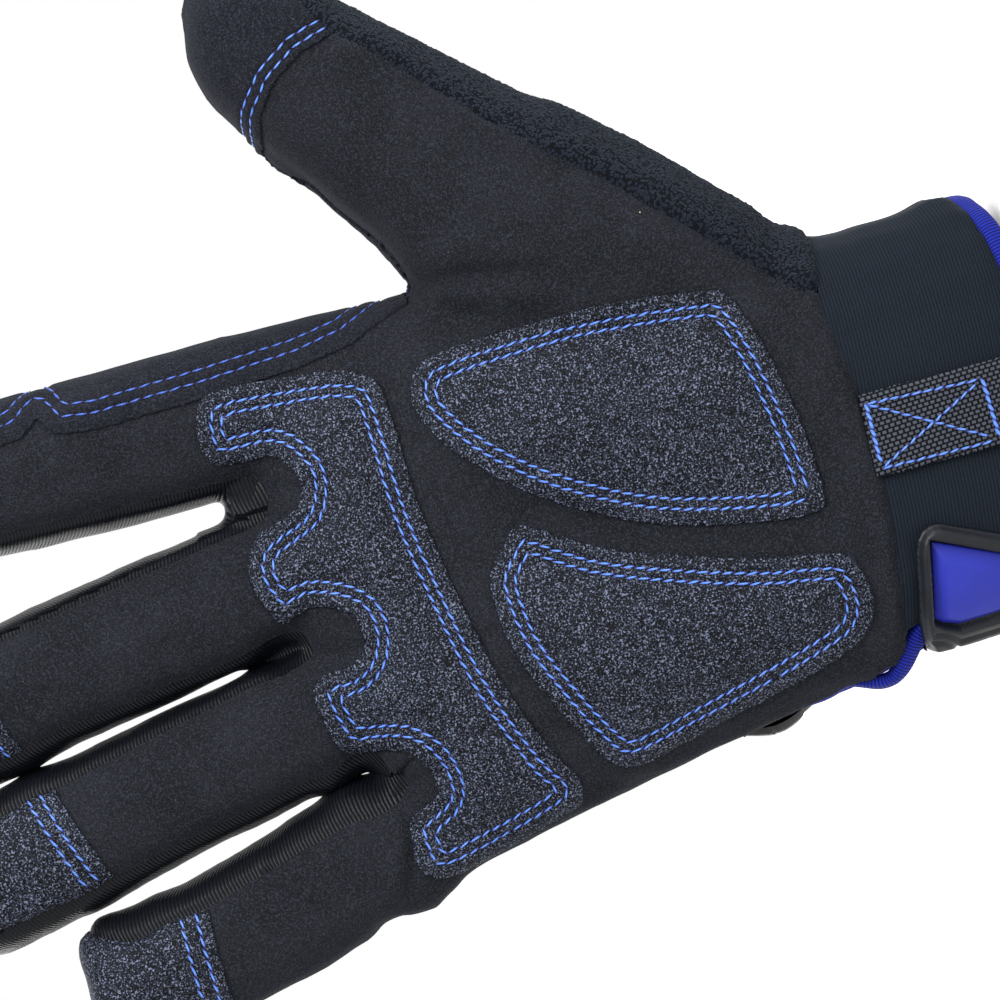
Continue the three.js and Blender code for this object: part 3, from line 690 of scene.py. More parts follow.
addModifier(body, "REMESH", mode="VOXEL", voxel_size=skinShape["voxel"])
addModifier(body, "BOOLEAN", operation="DIFFERENCE", object=blade)
addModifier(body, "REMESH", mode="VOXEL", voxel_size=skinShape["voxel"])
remeshed = evaluated(body)
body.modifiers.clear()
bpy.data.objects.remove(blade)
body.data = remeshed
roughPlaces = meshPlaces(body.data)
rimGap = distanceTo("cuff_binding", roughPlaces, skinShape["rimKept"][1])
loose = body.vertex_groups.new(name="loose")
loose.add(list(range(len(roughPlaces))), 1.0, "REPLACE")
for index in np.nonzero(rimGap < skinShape["rimKept"][1])[0]:
    loose.add([int(index)], float(smoothSteps(rimGap[index], *skinShape["rimKept"])), "REPLACE")
addModifier(body, "SMOOTH", factor=0.5, iterations=skinShape["rounds"], vertex_group="loose")
once = meshPlaces(evaluated(body))
body.data.vertices.foreach_set("co", once.ravel())
body.data.update()
twice = meshPlaces(evaluated(body))
body.modifiers.clear()
body.data.vertices.foreach_set("co", (2 * once - twice).ravel())  # gives back the size that smoothing takes
body.data.update()

skin = bmesh.new()
skin.from_mesh(body.data)
bpy.data.objects.remove(body)
skin.normal_update()
skin.verts.ensure_lookup_table()


def moveSkin(places):
    # moves the skin's points, and gives back which way is up from each
    for vert, place in zip(skin.verts, places):
        vert.co = place
    skin.normal_update()
    return np.array([vert.normal[:] for vert in skin.verts])


spreadPlaces = np.array([(vert.co - vert.normal * skinShape["overlap"])[:] for vert in skin.verts])
across = {side: sideOf(spreadPlaces, gapLines[side]) for side in (1, 2)}
skinPlaces = spreadPlaces.copy()
for _ in range(5):  # looks for the place that the spread brought to here
    skinPlaces[:, 0] = spreadPlaces[:, 0] - spreadMoves(skinPlaces, across)
skinUps = moveSkin(skinPlaces)

# the outside is all that can be reached from a fingertip without crossing the rim
outside = np.zeros(len(skinPlaces), bool)
stack = [int(np.argmax(skinPlaces[:, 2]))]
outside[stack[0]] = True
nearRim = rimGap < skinShape["rimWall"]
while stack:
    for edge in skin.verts[stack.pop()].link_edges:
        for vert in edge.verts:
            if not outside[vert.index] and not nearRim[vert.index]:
                outside[vert.index] = True
                stack.append(vert.index)
print("skin", len(skinPlaces), "points,", int(outside.sum()), "outside")

clothGaps = np.array([distanceTo(name, skinPlaces, 6) for name in clothNodes])
homeLayer = skin.verts.layers.float_vector.new("home")  # where each point was before it is moved, for the labels
for vert in skin.verts:
    vert[homeLayer] = vert.co


def homesOf(bm):
    layer = bm.verts.layers.float_vector["home"]
    return np.array([vert[layer][:] for vert in bm.verts])


# where the suede meets the terry on the palm side, from the thumb tip to the wrist, as x and z
terryEdge = [(119.5, 115.3), (110.5, 113.1), (102.2, 110.1), (95.4, 106.6), (89.5, 99.8), (85.4, 95.8),
             (78.9, 89.7), (72.5, 83.6), (68.5, 79.2), (64.0, 74.6), (58.8, 68.2), (54.4, 63.5), (50.3, 59.8),
             (46.6, 55.7), (41.0, 50.1), (35.5, 44.6), (30.2, 39.3), (26.7, 35.1), (22, 28)]


fromTerry = sideOf(skinPlaces, terryEdge)
palmRow, terryRow, cuffRow, backRow, littleRow = (clothNodes.index(name) for name in (
    "palm_panel", "thumb_terry", "cuff", "back_panel", "fourchette_ring_little"))
ruled = smoothSteps(-np.abs(fromTerry), -14, -8) * smoothSteps(-skinUps[:, 1], -0.3, 0.1) * outside
ruled *= smoothSteps(np.minimum(clothGaps[cuffRow], clothGaps[backRow]), 0.3, 2.5)
clothGaps[terryRow] += 2.2 * smoothSteps(fromTerry, 10, 15)  # bares the lip on the side of the index finger
clothGaps[terryRow] = clothGaps[palmRow] + ruled * fromTerry + (1 - ruled) * (
    clothGaps[terryRow] - clothGaps[palmRow])

# the little finger shows more of its side strip near the crotch
beside = nearLine(skinPlaces, [(-38.5, 137), (-44.5, 170)])[0]
clothGaps[littleRow] -= 2.6 * bell(beside, 6) * (sideOf(skinPlaces, gapLines[2][:3]) < 0)


def belongsTo(name):
    # negative where a point of the skin is nearer to that piece than to any other
    row = clothNodes.index(name)
    return clothGaps[row] - np.delete(clothGaps, row, axis=0).min(axis=0)


# Small pulls on the shape. The last column keeps a pull to one side of a gap line, or to one CAD piece.
pulls = [  # line and move in x and z, reach in mm, where
    ([(102.4, 101.7), (83.8, 81.9), (78.5, 75.0)], (-1.2, 1.0), 5.4, 0),
    ([(53.5, 108.4), (50.5, 104.5)], (-0.6, -1.5), 5.0, 0),
    ([(49.0, 41.5), (55, 49)], (-0.55, 0.0), 4.0, 0),
    ([(38.8, 31), (37.8, 27)], (-0.8, 0.0), 3.2, 0),
    ([(38.6, 24), (38.4, 16)], (0.2, 0.0), 5.0, 0),
    ([(114.6, 133.0), (106.5, 133.6)], (-0.6, -2.2), 6.6, 0),
    ([(84, 129), (71.1, 119.6)], (0.55, -0.75), 4.8, 0),
    ([(49.4, 186.2), (48.9, 110.5)], (-1.05, 0.0), 5.9, 0),
    ([(-53.5, 196), (-51.5, 190)], (2.7, 2.0), 5.6, 0),
    ([(-59.4, 196.8), (-64.2, 196.7)], (-0.5, -2.3), 5.5, 0),
    ([(-62.8, 134.0), (-61.6, 130.0)], (-0.9, 0.0), 3.0, 0),
    ([(-60.8, 129.0), (-59.8, 126.0)], (-1.0, -0.2), 2.8, 0),
    ([(-64.0, 139.2), (-62.9, 136.1)], (1.2, 0.2), 2.4, 0),
    ([(-66.5, 152), (-70, 168)], (-0.8, 0.0), 5.5, 0),
    ([(-50, 88), (-47.5, 68)], (-0.2, 0.0), 5.0, 0),
    ([(-41.3, 39.4), (-41.1, 37.4)], (-2.2, -0.8), 4.6, 0),
    ([(38.6, 9), (38.3, 4.7)], (1.5, 0.0), 4.2, 0),
    ([(-40, 0), (-41.5, 23)], (1.5, 0.0), 8.0, 0),
    ([(-20.9, 212.7), (-19.2, 196)], (-1.9, 0.0), 6.2, 1),
    ([(-22.1, 213.0), (-20.1, 196)], (1.9, 0.0), 6.2, -1),
    ([(-37.6, 142), (-41.5, 157)], (-0.6, 0.0), 3.4, 2),
    ([(-47.0, 190), (-51.0, 208)], (-1.7, 0.2), 5.4, 2),
    ([(-40.5, 150), (-47.0, 188)], (-0.65, 0.0), 4.4, 2),
    ([(-41.5, 156), (-44.5, 172)], (-0.5, -0.1), 4.0, -2),
    ([(-49.0, 187), (-46.8, 180)], (0.8, 0.2), 3.6, -2),
    ([(-33.5, 131), (-36.6, 141)], (-2.5, 0.0), 4.0, 2),
    ([(-33.5, 131), (-36.6, 141)], (1.9, 0.0), 4.0, -2),
    ([(-12.3, 156), (-17.8, 188)], (-0.3, 0.0), 4.6, 1),
    ([(-12.3, 156), (-17.8, 188)], (0.3, 0.0), 4.6, -1),
    ([(18.5, 146.9), (21.2, 190)], (-0.2, 0.0), 5.0, 3),
    ([(17.4, 143.6), (16.4, 147)], (0.0, 5.8), 5.5, "fourchette_index_middle"),
]
picture = skinPlaces[:, [0, 2]]
moved = np.zeros_like(picture)
for line, move, reach, where in pulls:
    weight = bell(nearLine(picture, line)[0], reach)
    if isinstance(where, str):
        weight *= smoothSteps(-belongsTo(where), -0.2, 2.0)
    elif where:
        weight *= smoothSteps(sideOf(picture, gapLines[abs(where)]) * math.copysign(1, where), -0.4, 0.4)
    moved += weight[:, None] * np.array(move)
skinPlaces[:, [0, 2]] += moved
tapeTree = treeOf(path)
rimStart, rimFull = skinShape["rimInTape"]
for index in np.nonzero(rimGap < rimStart)[0]:  # the cloth's rim goes inside the tape
    toTape = np.array(tapeTree.find(Vector(skinPlaces[index]))[0]) - skinPlaces[index]
    share = max(0.0, 1 - skinShape["rimDepth"] / max(np.linalg.norm(toTape), 1e-6))
    skinPlaces[index] += toTape * share * float(smoothSteps(-rimGap[index], -rimStart, -rimFull))
skinUps = moveSkin(skinPlaces)

# Folds on the palm side
folds = [  # line in x and z, depth and half width in mm, how far the cloth swells beside it
    ([(47.5, 105.6), (47.0, 98), (46.2, 92), (44.5, 85), (42, 78)], 1.1, 1.7, 0.5),
    ([(-40.5, 130.5), (-47, 129.4), (-54, 131.4), (-60, 134.2)], 1.0, 1.2, 0.4),
    ([(-46.2, 157.5), (-49, 156.2), (-51.5, 156.8)], 0.8, 1.0, 0.2),
    ([(1.5, 98), (3.5, 92), (-2.5, 82), (-7.2, 70), (-10.5, 58)], 1.2, 2.6, 0.0),
    ([(16, 130), (18.6, 135), (19, 140)], 0.7, 1.6, 0.2),
    ([(-13, 126), (-12.6, 132), (-12.6, 139)], 0.7, 1.6, 0.2),
    ([(-37, 118), (-38, 124), (-39.4, 129)], 0.6, 1.6, 0.2),
    ([(-47, 96), (-50, 90), (-49.5, 82)], 0.7, 2.0, 0.3),
    ([(36, 40), (30, 43), (24, 40)], 0.5, 2.2, 0.3),
    ([(-12, 36), (-24, 37.5), (-34, 38)], 0.5, 1.8, 0.3),
]
sculptShape = {"broad": (0.32, 17), "fine": (0.16, 6.5), "turnedEdge": 0.75}
palmFace = smoothSteps(-skinUps[:, 1], 0.05, 0.35) * outside
picture = skinPlaces[:, [0, 2]]
sculpt = sum(height * noiseAt(skinPlaces, size, seed) for (height, size), seed in (
    (sculptShape["broad"], 1), (sculptShape["fine"], 2)))
for line, depth, width, swell in folds:
    gap, along, _ = nearLine(picture, line)
    fade = np.clip(np.sin(np.clip(along, 0, 1) * math.pi) * 1.6, 0.25, 1)
    sculpt += palmFace * fade * (swell * bell(gap - 2.2 * width, 1.4 * width) - depth * bell(gap, width))
nearest = np.sort(clothGaps, axis=0)
sculpt -= outside * skinShape["seamDepth"] * bell(nearest[1] - nearest[0], skinShape["seamWidth"])
# the suede's turned edge stands a little over the cuff
overCuff = clothGaps[palmRow] - clothGaps[cuffRow]
onSuede = (overCuff < 0) * (nearest[0] == clothGaps[palmRow])
sculpt += outside * sculptShape["turnedEdge"] * onSuede * bell(overCuff + 1.6, 1.5)
sculpt *= smoothSteps(rimGap, 1.0, 5.0)
skinPlaces = skinPlaces + skinUps * sculpt[:, None]
moveSkin(skinPlaces)


def skinPart(level, reach=2.5, onlyOutside=True):
    # the skin's faces where the level is under a reach, with the level kept on them
    part = skin.copy()
    setLevel(part, level)
    gone = (level >= reach) | ~(outside | (not onlyOutside))
    bmesh.ops.delete(part, geom=[vert for vert, drop in zip(part.verts, gone) if drop], context="VERTS")
    part.verts.index_update()
    return part


def halve(bm):
    bmesh.ops.subdivide_edges(bm, edges=bm.edges[:], cuts=1, use_grid_fill=True)
    bm.verts.index_update()


# ---- cloth panels ----

def clothPanel(name):
    part = skinPart(belongsTo(name), onlyOutside=False)
    cutAlong(part)
    return part


for name, material, slotName in (
        ("palm_panel", suede, "suede"), ("back_panel", knit, "stretch_knit"), ("cuff", neoprene, "neoprene")):
    finishPiece(name + "_cloth", clothPanel(name), material, (name,))

# the side strips bulge like piping between their two seams
stripShape = {  # swell at the crotch, its reach, and swell along the rest
    "fourchette_index_middle": (0.9, 6.0, 0.1),
    "fourchette_middle_ring": (0.8, 4.0, 0.0),
    "fourchette_ring_little": (0.7, 8.0, 0.1),
}
ribShape = {"bend": 3.5, "crotchAbove": 5, "slant": 0.45}  # bend is the radius of the ribs' turn round the crotch
for name, (crotchSwell, reach, swell) in stripShape.items():
    strip = clothPanel(name)
    gap = edgeDistance(strip, 4)
    points = placesOf(strip)
    flat = points[:, [0, 2]]
    bottom = flat[points[:, 2] < points[:, 2].min() + 1.5].mean(axis=0)
    top = flat[points[:, 2] > points[:, 2].max() - 6].mean(axis=0)
    axis = (top - bottom) / np.linalg.norm(top - bottom)
    bottom = bottom + axis * ribShape["crotchAbove"]
    offset = flat - bottom - axis * ribShape["bend"]
    ahead, across = offset @ axis, offset @ np.array([-axis[1], axis[0]])
    run = np.where(ahead > 0, np.sign(across) * (ahead + ribShape["bend"] * math.pi / 2),
                   ribShape["bend"] * np.arctan2(across, np.maximum(-ahead, 1e-6)))
    keepValues(strip, "run", run + ribShape["slant"] * points[:, 1])
    keepUps(strip)
    fromCrotch = np.hypot(*(flat - bottom).T)
    lift(strip, smoothSteps(gap, 0.2, 1.8) * (swell + crotchSwell * bell(fromCrotch, reach)))
    finishPiece(name + "_rib", strip, rib, (name,))

# terry: the panel stands proud and its loops roughen its surface
terryShape = {"proud": 0.2, "edge": 1.2, "loopSize": 0.66, "loopHeight": 0.32, "tuftSize": 2.2, "tuftHeight": 0.12}
terryCloth = clothPanel("thumb_terry")
halve(terryCloth)
keepUps(terryCloth)
points = placesOf(terryCloth)
loops = noiseAt(points, terryShape["loopSize"], 3) * terryShape["loopHeight"] \
    + noiseAt(points, terryShape["tuftSize"], 4) * terryShape["tuftHeight"]
lift(terryCloth, (terryShape["proud"] + loops) * smoothSteps(edgeDistance(terryCloth, 4), 0.0, terryShape["edge"]))
finishPiece("thumb_terry_loops", terryCloth, terry, ("thumb_terry",))


# ---- stitches ----

def stitchAlong(bm, line, shape):
    # one small lozenge of thread for each stitch along a line of (place, up)
    places, ups = (np.array([entry[part][:] for entry in line]) for part in (0, 1))
    runs = runsOf(places)
    stations = np.linspace(0, runs[-1], max(3, int(runs[-1] / 0.4)))
    places, ups = placesAt(stations, runs, places), placesAt(stations, runs, ups)
    for _ in range(6):  # evens out the steps of the mesh
        places[1:-1] = (places[:-2] + 2 * places[1:-1] + places[2:]) / 4
    runs = runsOf(places)
    for number in range(int(runs[-1] / shape["pitch"])):
        middle = (number + 0.5) * shape["pitch"]
        at, ahead, behind = (placesAt(middle + step, runs, places) for step in (0, 0.5, -0.5))
        up = Vector(placesAt(middle, runs, ups)).normalized()
        forward = Vector(ahead - behind)
        forward = (forward - up * forward.dot(up)).normalized()
        forward.rotate(Matrix.Rotation(shape["slant"] + 0.09 * math.sin(number * 2.4), 3, up))
        size = 1 + 0.08 * math.sin(number * 1.7)
        matrix = Matrix((up.cross(forward) * shape["width"] / 2, up * shape["height"] / 2,
                         forward * shape["length"] / 2 * size)).transposed().to_4x4()
        matrix.translation = Vector(at) + up * shape["lift"]
        for vert in bmesh.ops.create_uvsphere(bm, u_segments=8, v_segments=6, radius=1, calc_uvs=True)["verts"]:
            full = 1 / math.sqrt(max(math.hypot(vert.co.x, vert.co.y), 0.3))  # thread keeps its width to its ends
            vert.co = matrix @ Vector((vert.co.x * full, vert.co.y * full, vert.co.z))


def newThread():
    bm = bmesh.new()
    bm.loops.layers.uv.new("thread")
    return bm


def stitchRows(piece, rows, shape):
    # stitches where the piece's row value passes each of the rows
    thread = newThread()
    for row in rows:
        for line in contours(piece, row):
            stitchAlong(thread, line, shape)
    return thread


lockStitch = {"pitch": 2.2, "length": 2.5, "width": 0.4, "height": 0.38, "lift": 0.1, "slant": 0.22}
runningStitch = {"pitch": 2.5, "length": 2.4, "width": 0.38, "height": 0.38, "lift": 0.1, "slant": 0.06}


def frayAt(points, depth, size, seed):
    return depth * (noiseAt(points, size, seed) + 0.6 * noiseAt(points, 0.5, seed + 1))


def furrowsAt(distance, rows, shape):
    return sum(shape["furrow"] * bell(distance - row, shape["furrowWidth"]) for row in rows)


# ---- palm pads ----

padShape = {
    "rows": (2.7, 4.5),       # stitch rows, from the raw edge
    "flange": 0.95,           # height of the flat edge
    "furrow": 0.5, "furrowWidth": 0.55,
    "crown": 1.75, "crownFrom": 4.7, "crownTo": 10.0,
    "edgeDrop": 0.3, "edgeWidth": 1.1, "fray": 0.25, "least": 0.2, "sunk": 0.35,
}
padOutlines = {
    "pad_knuckle": [
        (36.5, 147), (38.4, 144.6), (38.4, 136.5), (36.6, 122), (34.3, 116.3), (31.4, 114.3), (23.5, 113.6),
        (8.6, 113), (-6.8, 110.7), (-24.3, 107), (-38.7, 101.7), (-44.3, 98.4), (-48.6, 98.4), (-50.8, 101.3),
        (-55, 115.4), (-56.8, 124.4), (-56, 128.2), (-53, 130), (-45.9, 129.8), (-43.9, 127.1), (-42, 123.6),
        (-39.5, 122.8), (-35.5, 123.9), (-32.1, 127.6), (-30.5, 136.4), (-28.4, 138.6), (-21, 140.3),
        (-17.7, 140.1), (-15.9, 137.1), (-15.4, 132.3), (-12.9, 129.3), (-8.4, 128.6), (-5.5, 130.6),
        (-3.2, 136.4), (-4.4, 142.6), (-1.5, 144.3), (3.6, 146), (8, 145.2), (11, 142.8), (13.3, 137.6),
        (15, 133.8), (19.2, 132.3), (23, 134), (25.2, 137), (25.7, 145.6), (28.4, 148.1), (32.6, 148.3)],
    "pad_thumb": [
        (30.7, 108.7), (33.3, 106.7), (34.7, 102.3), (35.4, 91), (35.4, 72.7), (33.2, 54.9), (32, 51.2),
        (29.1, 49.2), (22.1, 46.9), (10.4, 44.5), (-0.9, 43.2), (-8.3, 43.4), (-9.9, 45.2), (-9.7, 51.7),
        (-7.6, 62.2), (-4.7, 72.4), (-0.2, 82.3), (6.6, 93.3), (14.5, 102.2), (21.8, 107.6), (26.8, 109.4)],
    "pad_heel": [
        (-1.6, 100.5), (0.9, 98.1), (0.6, 94.9), (-6.2, 83.9), (-11.3, 70.5), (-15.3, 56.9), (-18, 43.3),
        (-22, 40.3), (-27.7, 39.6), (-32.6, 41.7), (-35.2, 45.7), (-38.4, 55.7), (-41.3, 67.5), (-43.8, 77.5),
        (-45.6, 85.4), (-45.2, 89.6), (-43, 92.3), (-34.4, 97.2), (-21.8, 102.8), (-12.2, 104.5), (-6, 104)],
}
facesPalm = (skinUps[:, 1] < -0.02) & (skinPlaces[:, 1] < 1)


def padHeight(inside, points):
    height = padShape["flange"] - furrowsAt(inside, padShape["rows"], padShape)
    height += (padShape["crown"] - padShape["flange"]) * smoothSteps(inside, padShape["crownFrom"], padShape["crownTo"])
    height += bell(inside, padShape["edgeWidth"]) * padShape["edgeDrop"] * (noiseAt(points, 1.3, 6) - 1)
    return np.maximum(height + 0.14 * noiseAt(points, 5.5, 7), padShape["least"])


for name, outline in padOutlines.items():
    curve = rounded(outline)
    level = np.full(len(skinPlaces), 9.0)
    level[facesPalm] = outlineLevel(picture[facesPalm], curve)
    pad = skinPart(level)
    halve(pad)
    points = trim(pad, lambda places: outlineLevel(places, curve) + frayAt(places, padShape["fray"], 1.1, 8))
    inside = -outlineLevel(points, curve)
    keepValues(pad, "row", inside)
    raiseBy(pad, padHeight(inside, points), padShape["sunk"])
    thread = stitchRows(pad, padShape["rows"], lockStitch)
    finishPiece(name + "_grain", pad, padGrain, (name,))
    finishPiece(name + "_stitches", thread, blueThread)


# ---- patches that wrap the fingertips, the thumb tip and the index finger's side ----

patchShape = {"height": 0.85, "furrow": 0.4, "furrowWidth": 0.5, "fray": 0.22, "reach": 0.75, "thumbReach": 3.0,
              "sunk": 0.3}
patches = {  # raw lower edge in x and z, stitch rows from it, cloth, slot, stitch, thread
    "tip_patch_middle": ([(40, 210.7), (-50, 183.8)], (2.1, 4.4), padGrain, "grained_pad", lockStitch, blueThread),
    "tip_patch_ring": ([(10, 202.1), (-70, 174.2)], (2.1, 4.4), padGrain, "grained_pad", lockStitch, blueThread),
    "tip_patch_little": ([(-30, 169.6), (-90, 169.6)], (1.5, 4.4), padGrain, "grained_pad", lockStitch, blueThread),
    "thumb_tip_patch": (
        [(101, 84), (97.8, 92.9), (94.4, 106.5), (92.8, 112.4), (89.0, 118.3), (84.2, 122.5), (80.2, 124.0),
         (74, 127.5)], (1.5, 3.3), patchSuede, "suede", runningStitch, blueThread),
    "saddle_patch": (
        [(37, 203), (39.6, 199), (39.9, 184.1), (40.4, 179.3), (43.5, 175.4), (39.3, 172.6), (38.3, 165.8),
         (38.7, 146.8), (39.7, 127.6), (41.4, 118), (46.5, 107)],
        (2.2, 4.2), patchSuede, "suede", runningStitch, innerThread),
}
keepValues(skin, "palmLevel", belongsTo("palm_panel") + 0.2)
keepValues(skin, "facing", [-vert.normal.y for vert in skin.verts])


def patchLevel(name, bm):
    points = homesOf(bm)
    gap = distanceTo(name, points, 6)
    level = gap - patchShape["reach"]
    if name == "thumb_tip_patch":
        level = np.where(points[:, 1] < -2, -sideOf(points, patches[name][0]), level)
        level = np.maximum(level, gap - patchShape["thumbReach"])
    if name == "saddle_patch":  # on the thumb it keeps to the side of the crotch
        onThumb = smoothSteps(points[:, 0] - 0.5 * (points[:, 2] - 105), 45.5, 47.5)
        toPalm = valuesOf(bm, "facing") - 0.1
        return np.maximum(level, np.where(onThumb > 0, 4 * toPalm - 4 * (1 - onThumb), -9))
    return np.maximum(level, valuesOf(bm, "palmLevel"))


for name, (lowerEdge, rows, look, slotName, stitch, threadLook) in patches.items():
    patch = skinPart(patchLevel(name, skin))
    halve(patch)
    points = trim(patch, lambda places: patchLevel(name, patch) + frayAt(places, patchShape["fray"], 1.2, 10))
    inside = edgeDistance(patch)
    fromLine = nearLine(points, lowerEdge)[0]
    height = patchShape["height"] - 0.35 * bell(inside, 0.9) - furrowsAt(fromLine, rows, patchShape)
    height += 0.22 * bell(inside, 1.0) * noiseAt(points, 1.3, 12)
    keepValues(patch, "row", fromLine)
    raiseBy(patch, np.maximum(height, 0.15), patchShape["sunk"])
    thread = stitchRows(patch, rows, stitch)
    finishPiece(name + "_cloth", patch, look, (name,))
    finishPiece(name + "_stitches", thread, threadLook)


# ---- binding tape ----

def squared(value, power):
    # takes a circle's sine or cosine towards a rounded square's
    return math.copysign(abs(value) ** power, value)


tapeMesh = bmesh.new()
runLayer = tapeMesh.verts.layers.float.new("run")
ring = list(bmesh.ops.create_circle(tapeMesh, segments=tapeShape["corners"], radius=1)["verts"])
ringShape = [(squared(vert.co.x, 0.8) * tapeShape["height"] / 2, squared(vert.co.y, 0.8) * tapeShape["thick"] / 2)
             for vert in ring]
firstEdges = ringEdges = tapeMesh.edges[:]


def placeRing(verts, index):
    centre = Vector(path[index])
    along = Vector(path[(index + 1) % len(path)] - path[index - 1]).normalized()
    outward = Vector((centre.x / 40, centre.y / 24, 0)).normalized()
    across = along.cross(outward).normalized()
    outward = across.cross(along).normalized()
    rough = 1 + 0.05 * noise.noise(centre / 3.1)
    for vert, (high, thick) in zip(verts, ringShape):
        vert.co = centre + across * high * rough + outward * thick * rough
        vert[runLayer] = index * stationStep


placeRing(ring, 0)
for index in range(1, len(path)):
    made = bmesh.ops.extrude_edge_only(tapeMesh, edges=ringEdges)["geom"]
    newVerts = {item for item in made if isinstance(item, bmesh.types.BMVert)}
    ring = [next(edge.other_vert(vert) for edge in vert.link_edges if edge.other_vert(vert) in newVerts)
            for vert in ring]  # keeps the ring's order through the extrusion
    ringEdges = [item for item in made if isinstance(item, bmesh.types.BMEdge) and newVerts.issuperset(item.verts)]
    placeRing(ring, index)
bmesh.ops.bridge_loops(tapeMesh, edges=firstEdges + ringEdges)
bmesh.ops.recalc_face_normals(tapeMesh, faces=tapeMesh.faces)
finishPiece("cuff_binding_tape", tapeMesh, tape, ("cuff_binding",))


# ---- pieces on the cuff ----

cuffRows = [  # z, left, right, front, back
    (-12, -37.2, 38.6, -23.4, 21.0), (6, -37.5, 39.2, -23.8, 21.6), (20, -38.9, 39.2, -24.0, 21.8),
    (34, -41.9, 40.4, -23.6, 21.2), (45, -44.2, 42.5, -22.6, 20.2)]
cuffPower = 2 / 2.7
onCuff = -0.4  # the pieces' undersides start this far off the cuff's surface


def cuffPoint(angle, z):
    heights = [row[0] for row in cuffRows]
    left, right, front, back = (np.interp(z, heights, [row[i] for row in cuffRows]) for i in (1, 2, 3, 4))
    across, dipShade = squared(math.cos(angle), cuffPower), squared(math.sin(angle), cuffPower)
    return Vector(((left + right) / 2 + ((right - left) / 2 + onCuff) * across,
                   (front + back) / 2 + ((back - front) / 2 + onCuff) * dipShade, z))


def cuffSheet(fromAngle, toAngle, low, high, step):
    # an even grid of faces on the cuff's surface
    fine = np.radians(np.linspace(fromAngle, toAngle, 400))
    runs = runsOf(np.array([cuffPoint(angle, (low + high) / 2)[:] for angle in fine]))
    bm = bmesh.new()
    bmesh.ops.create_grid(bm, x_segments=int(runs[-1] / step), y_segments=int((high - low) / step), size=0.5)
    runLayer = bm.verts.layers.float.new("run")
    for vert in bm.verts:
        vert[runLayer] = (vert.co.x + 0.5) * runs[-1]
        angle = float(np.interp(vert[runLayer], runs, fine))
        vert.co = cuffPoint(angle, low + (vert.co.y + 0.5) * (high - low))
    bm.normal_update()
    first = next(iter(bm.verts))
    if first.normal.dot(Vector((first.co.x, first.co.y, 0))) < 0:
        bmesh.ops.reverse_faces(bm, faces=bm.faces)
    bm.verts.index_update()
    return bm


tabShape = {
    "outline": [(-17.3, 25.0), (-17.2, 26.6), (-17.9, 28.2), (-19.3, 29.4), (-21.5, 30.2), (-32.0, 32.0), (-36.0, 32.0),
                (-39.8, 31.0), (-41.8, 29.4), (-60, 28.6), (-60, 2.6), (-28.2, 2.6), (-26.4, 4.6)],
    "insert": [(-19.6, 27.4), (-33.2, 29.9), (-34.2, 28.5), (-35.2, 25.4), (-34.8, 16.4), (-34.4, 6.6), (-28.6, 6.6)],
    "rim": 3.4, "floor": 1.2, "step": 0.26, "round": 1.6, "roundWidth": 0.75,
    "sideDrop": 2.7, "sideFrom": 37.4, "sideTo": 39.6,  # lies flatter where it goes round the side
    "groove": 0.7,
    "chevrons": [[(-34.9, 30.2), (-35.1, 28.8), (-36.7, 26.0), (-36.3, 16.8), (-35.9, 5)],
                 [(-36.0, 31.0), (-36.3, 29.2), (-38.1, 26.0), (-37.6, 17.0), (-37.1, 5)]],
}


def tabLevel(points, depth=1.0):
    return np.maximum(outlineLevel(points, tabShape["outline"]), points[:, 1] * depth)


tab = cuffSheet(176, 262, 1.6, 32.6, tabShape["step"])
points = trim(tab, tabLevel)
fromEdge = -tabLevel(points, 0.9)
height = tabShape["floor"] + (tabShape["rim"] - tabShape["floor"]) * smoothSteps(
    outlineLevel(points, tabShape["insert"]), -0.1, 0.35)
height -= tabShape["round"] * bell(fromEdge, tabShape["roundWidth"])
height -= tabShape["sideDrop"] * smoothSteps(-points[:, 0], tabShape["sideFrom"], tabShape["sideTo"])
for chevron in tabShape["chevrons"]:
    height -= tabShape["groove"] * smoothSteps(-nearLine(points, chevron)[0], -0.5, -0.1) * smoothSteps(
        fromEdge, 0.7, 1.5)
raiseBy(tab, height, 0.2)
finishPiece("closure_tab_rubber", tab, rubber, ("closure_tab",))

insertShape = {"floor": 1.4, "top": 2.7, "gap": 0.28, "long": 0.42, "upper": 0.55, "lower": 0.9}  # facets' slopes
insert = cuffSheet(195, 262, 5, 30, 0.36)
points = trim(insert, lambda places: outlineLevel(places, tabShape["insert"]) + insertShape["gap"])
facets = np.min([nearLine(points, edge)[0] * insertShape[slope] for edge, slope in (
    ([(-19.6, 27.4), (-28.6, 6.6)], "long"), (tabShape["insert"][:2], "upper"),
    (tabShape["insert"][1:6], "lower"))], axis=0)
raiseBy(insert, insertShape["floor"] + np.minimum(facets, insertShape["top"] - insertShape["floor"]), 0.1)
finishPiece("closure_insert_rubber", insert, blueRubber, ("closure_insert",))

pullShape = {"outline": [(8.0, 33.0), (-6.8, 33.4), (-6.8, 2.6), (8.0, 2.6)], "height": 1.25, "picot": 0.78,
             "picotDepth": 0.22}
pull = cuffSheet(252, 292, 1.6, 34.4, 0.4)
points = trim(pull, lambda places: outlineLevel(places, pullShape["outline"]) + pullShape["picotDepth"] * np.sin(
    places[:, 2] * 2 * math.pi / pullShape["picot"]) * (abs(places[:, 0] - 0.6) > 6.4))
inside = -outlineLevel(points, pullShape["outline"])
raiseBy(pull, pullShape["height"] - 0.35 * bell(inside, 0.5) + 0.1 * noiseAt(points, 6, 14), 0.2)
pullTree = BVHTree.FromBMesh(pull)
finishPiece("pull_tab_webbing", pull, webbing, ("pull_tab",))

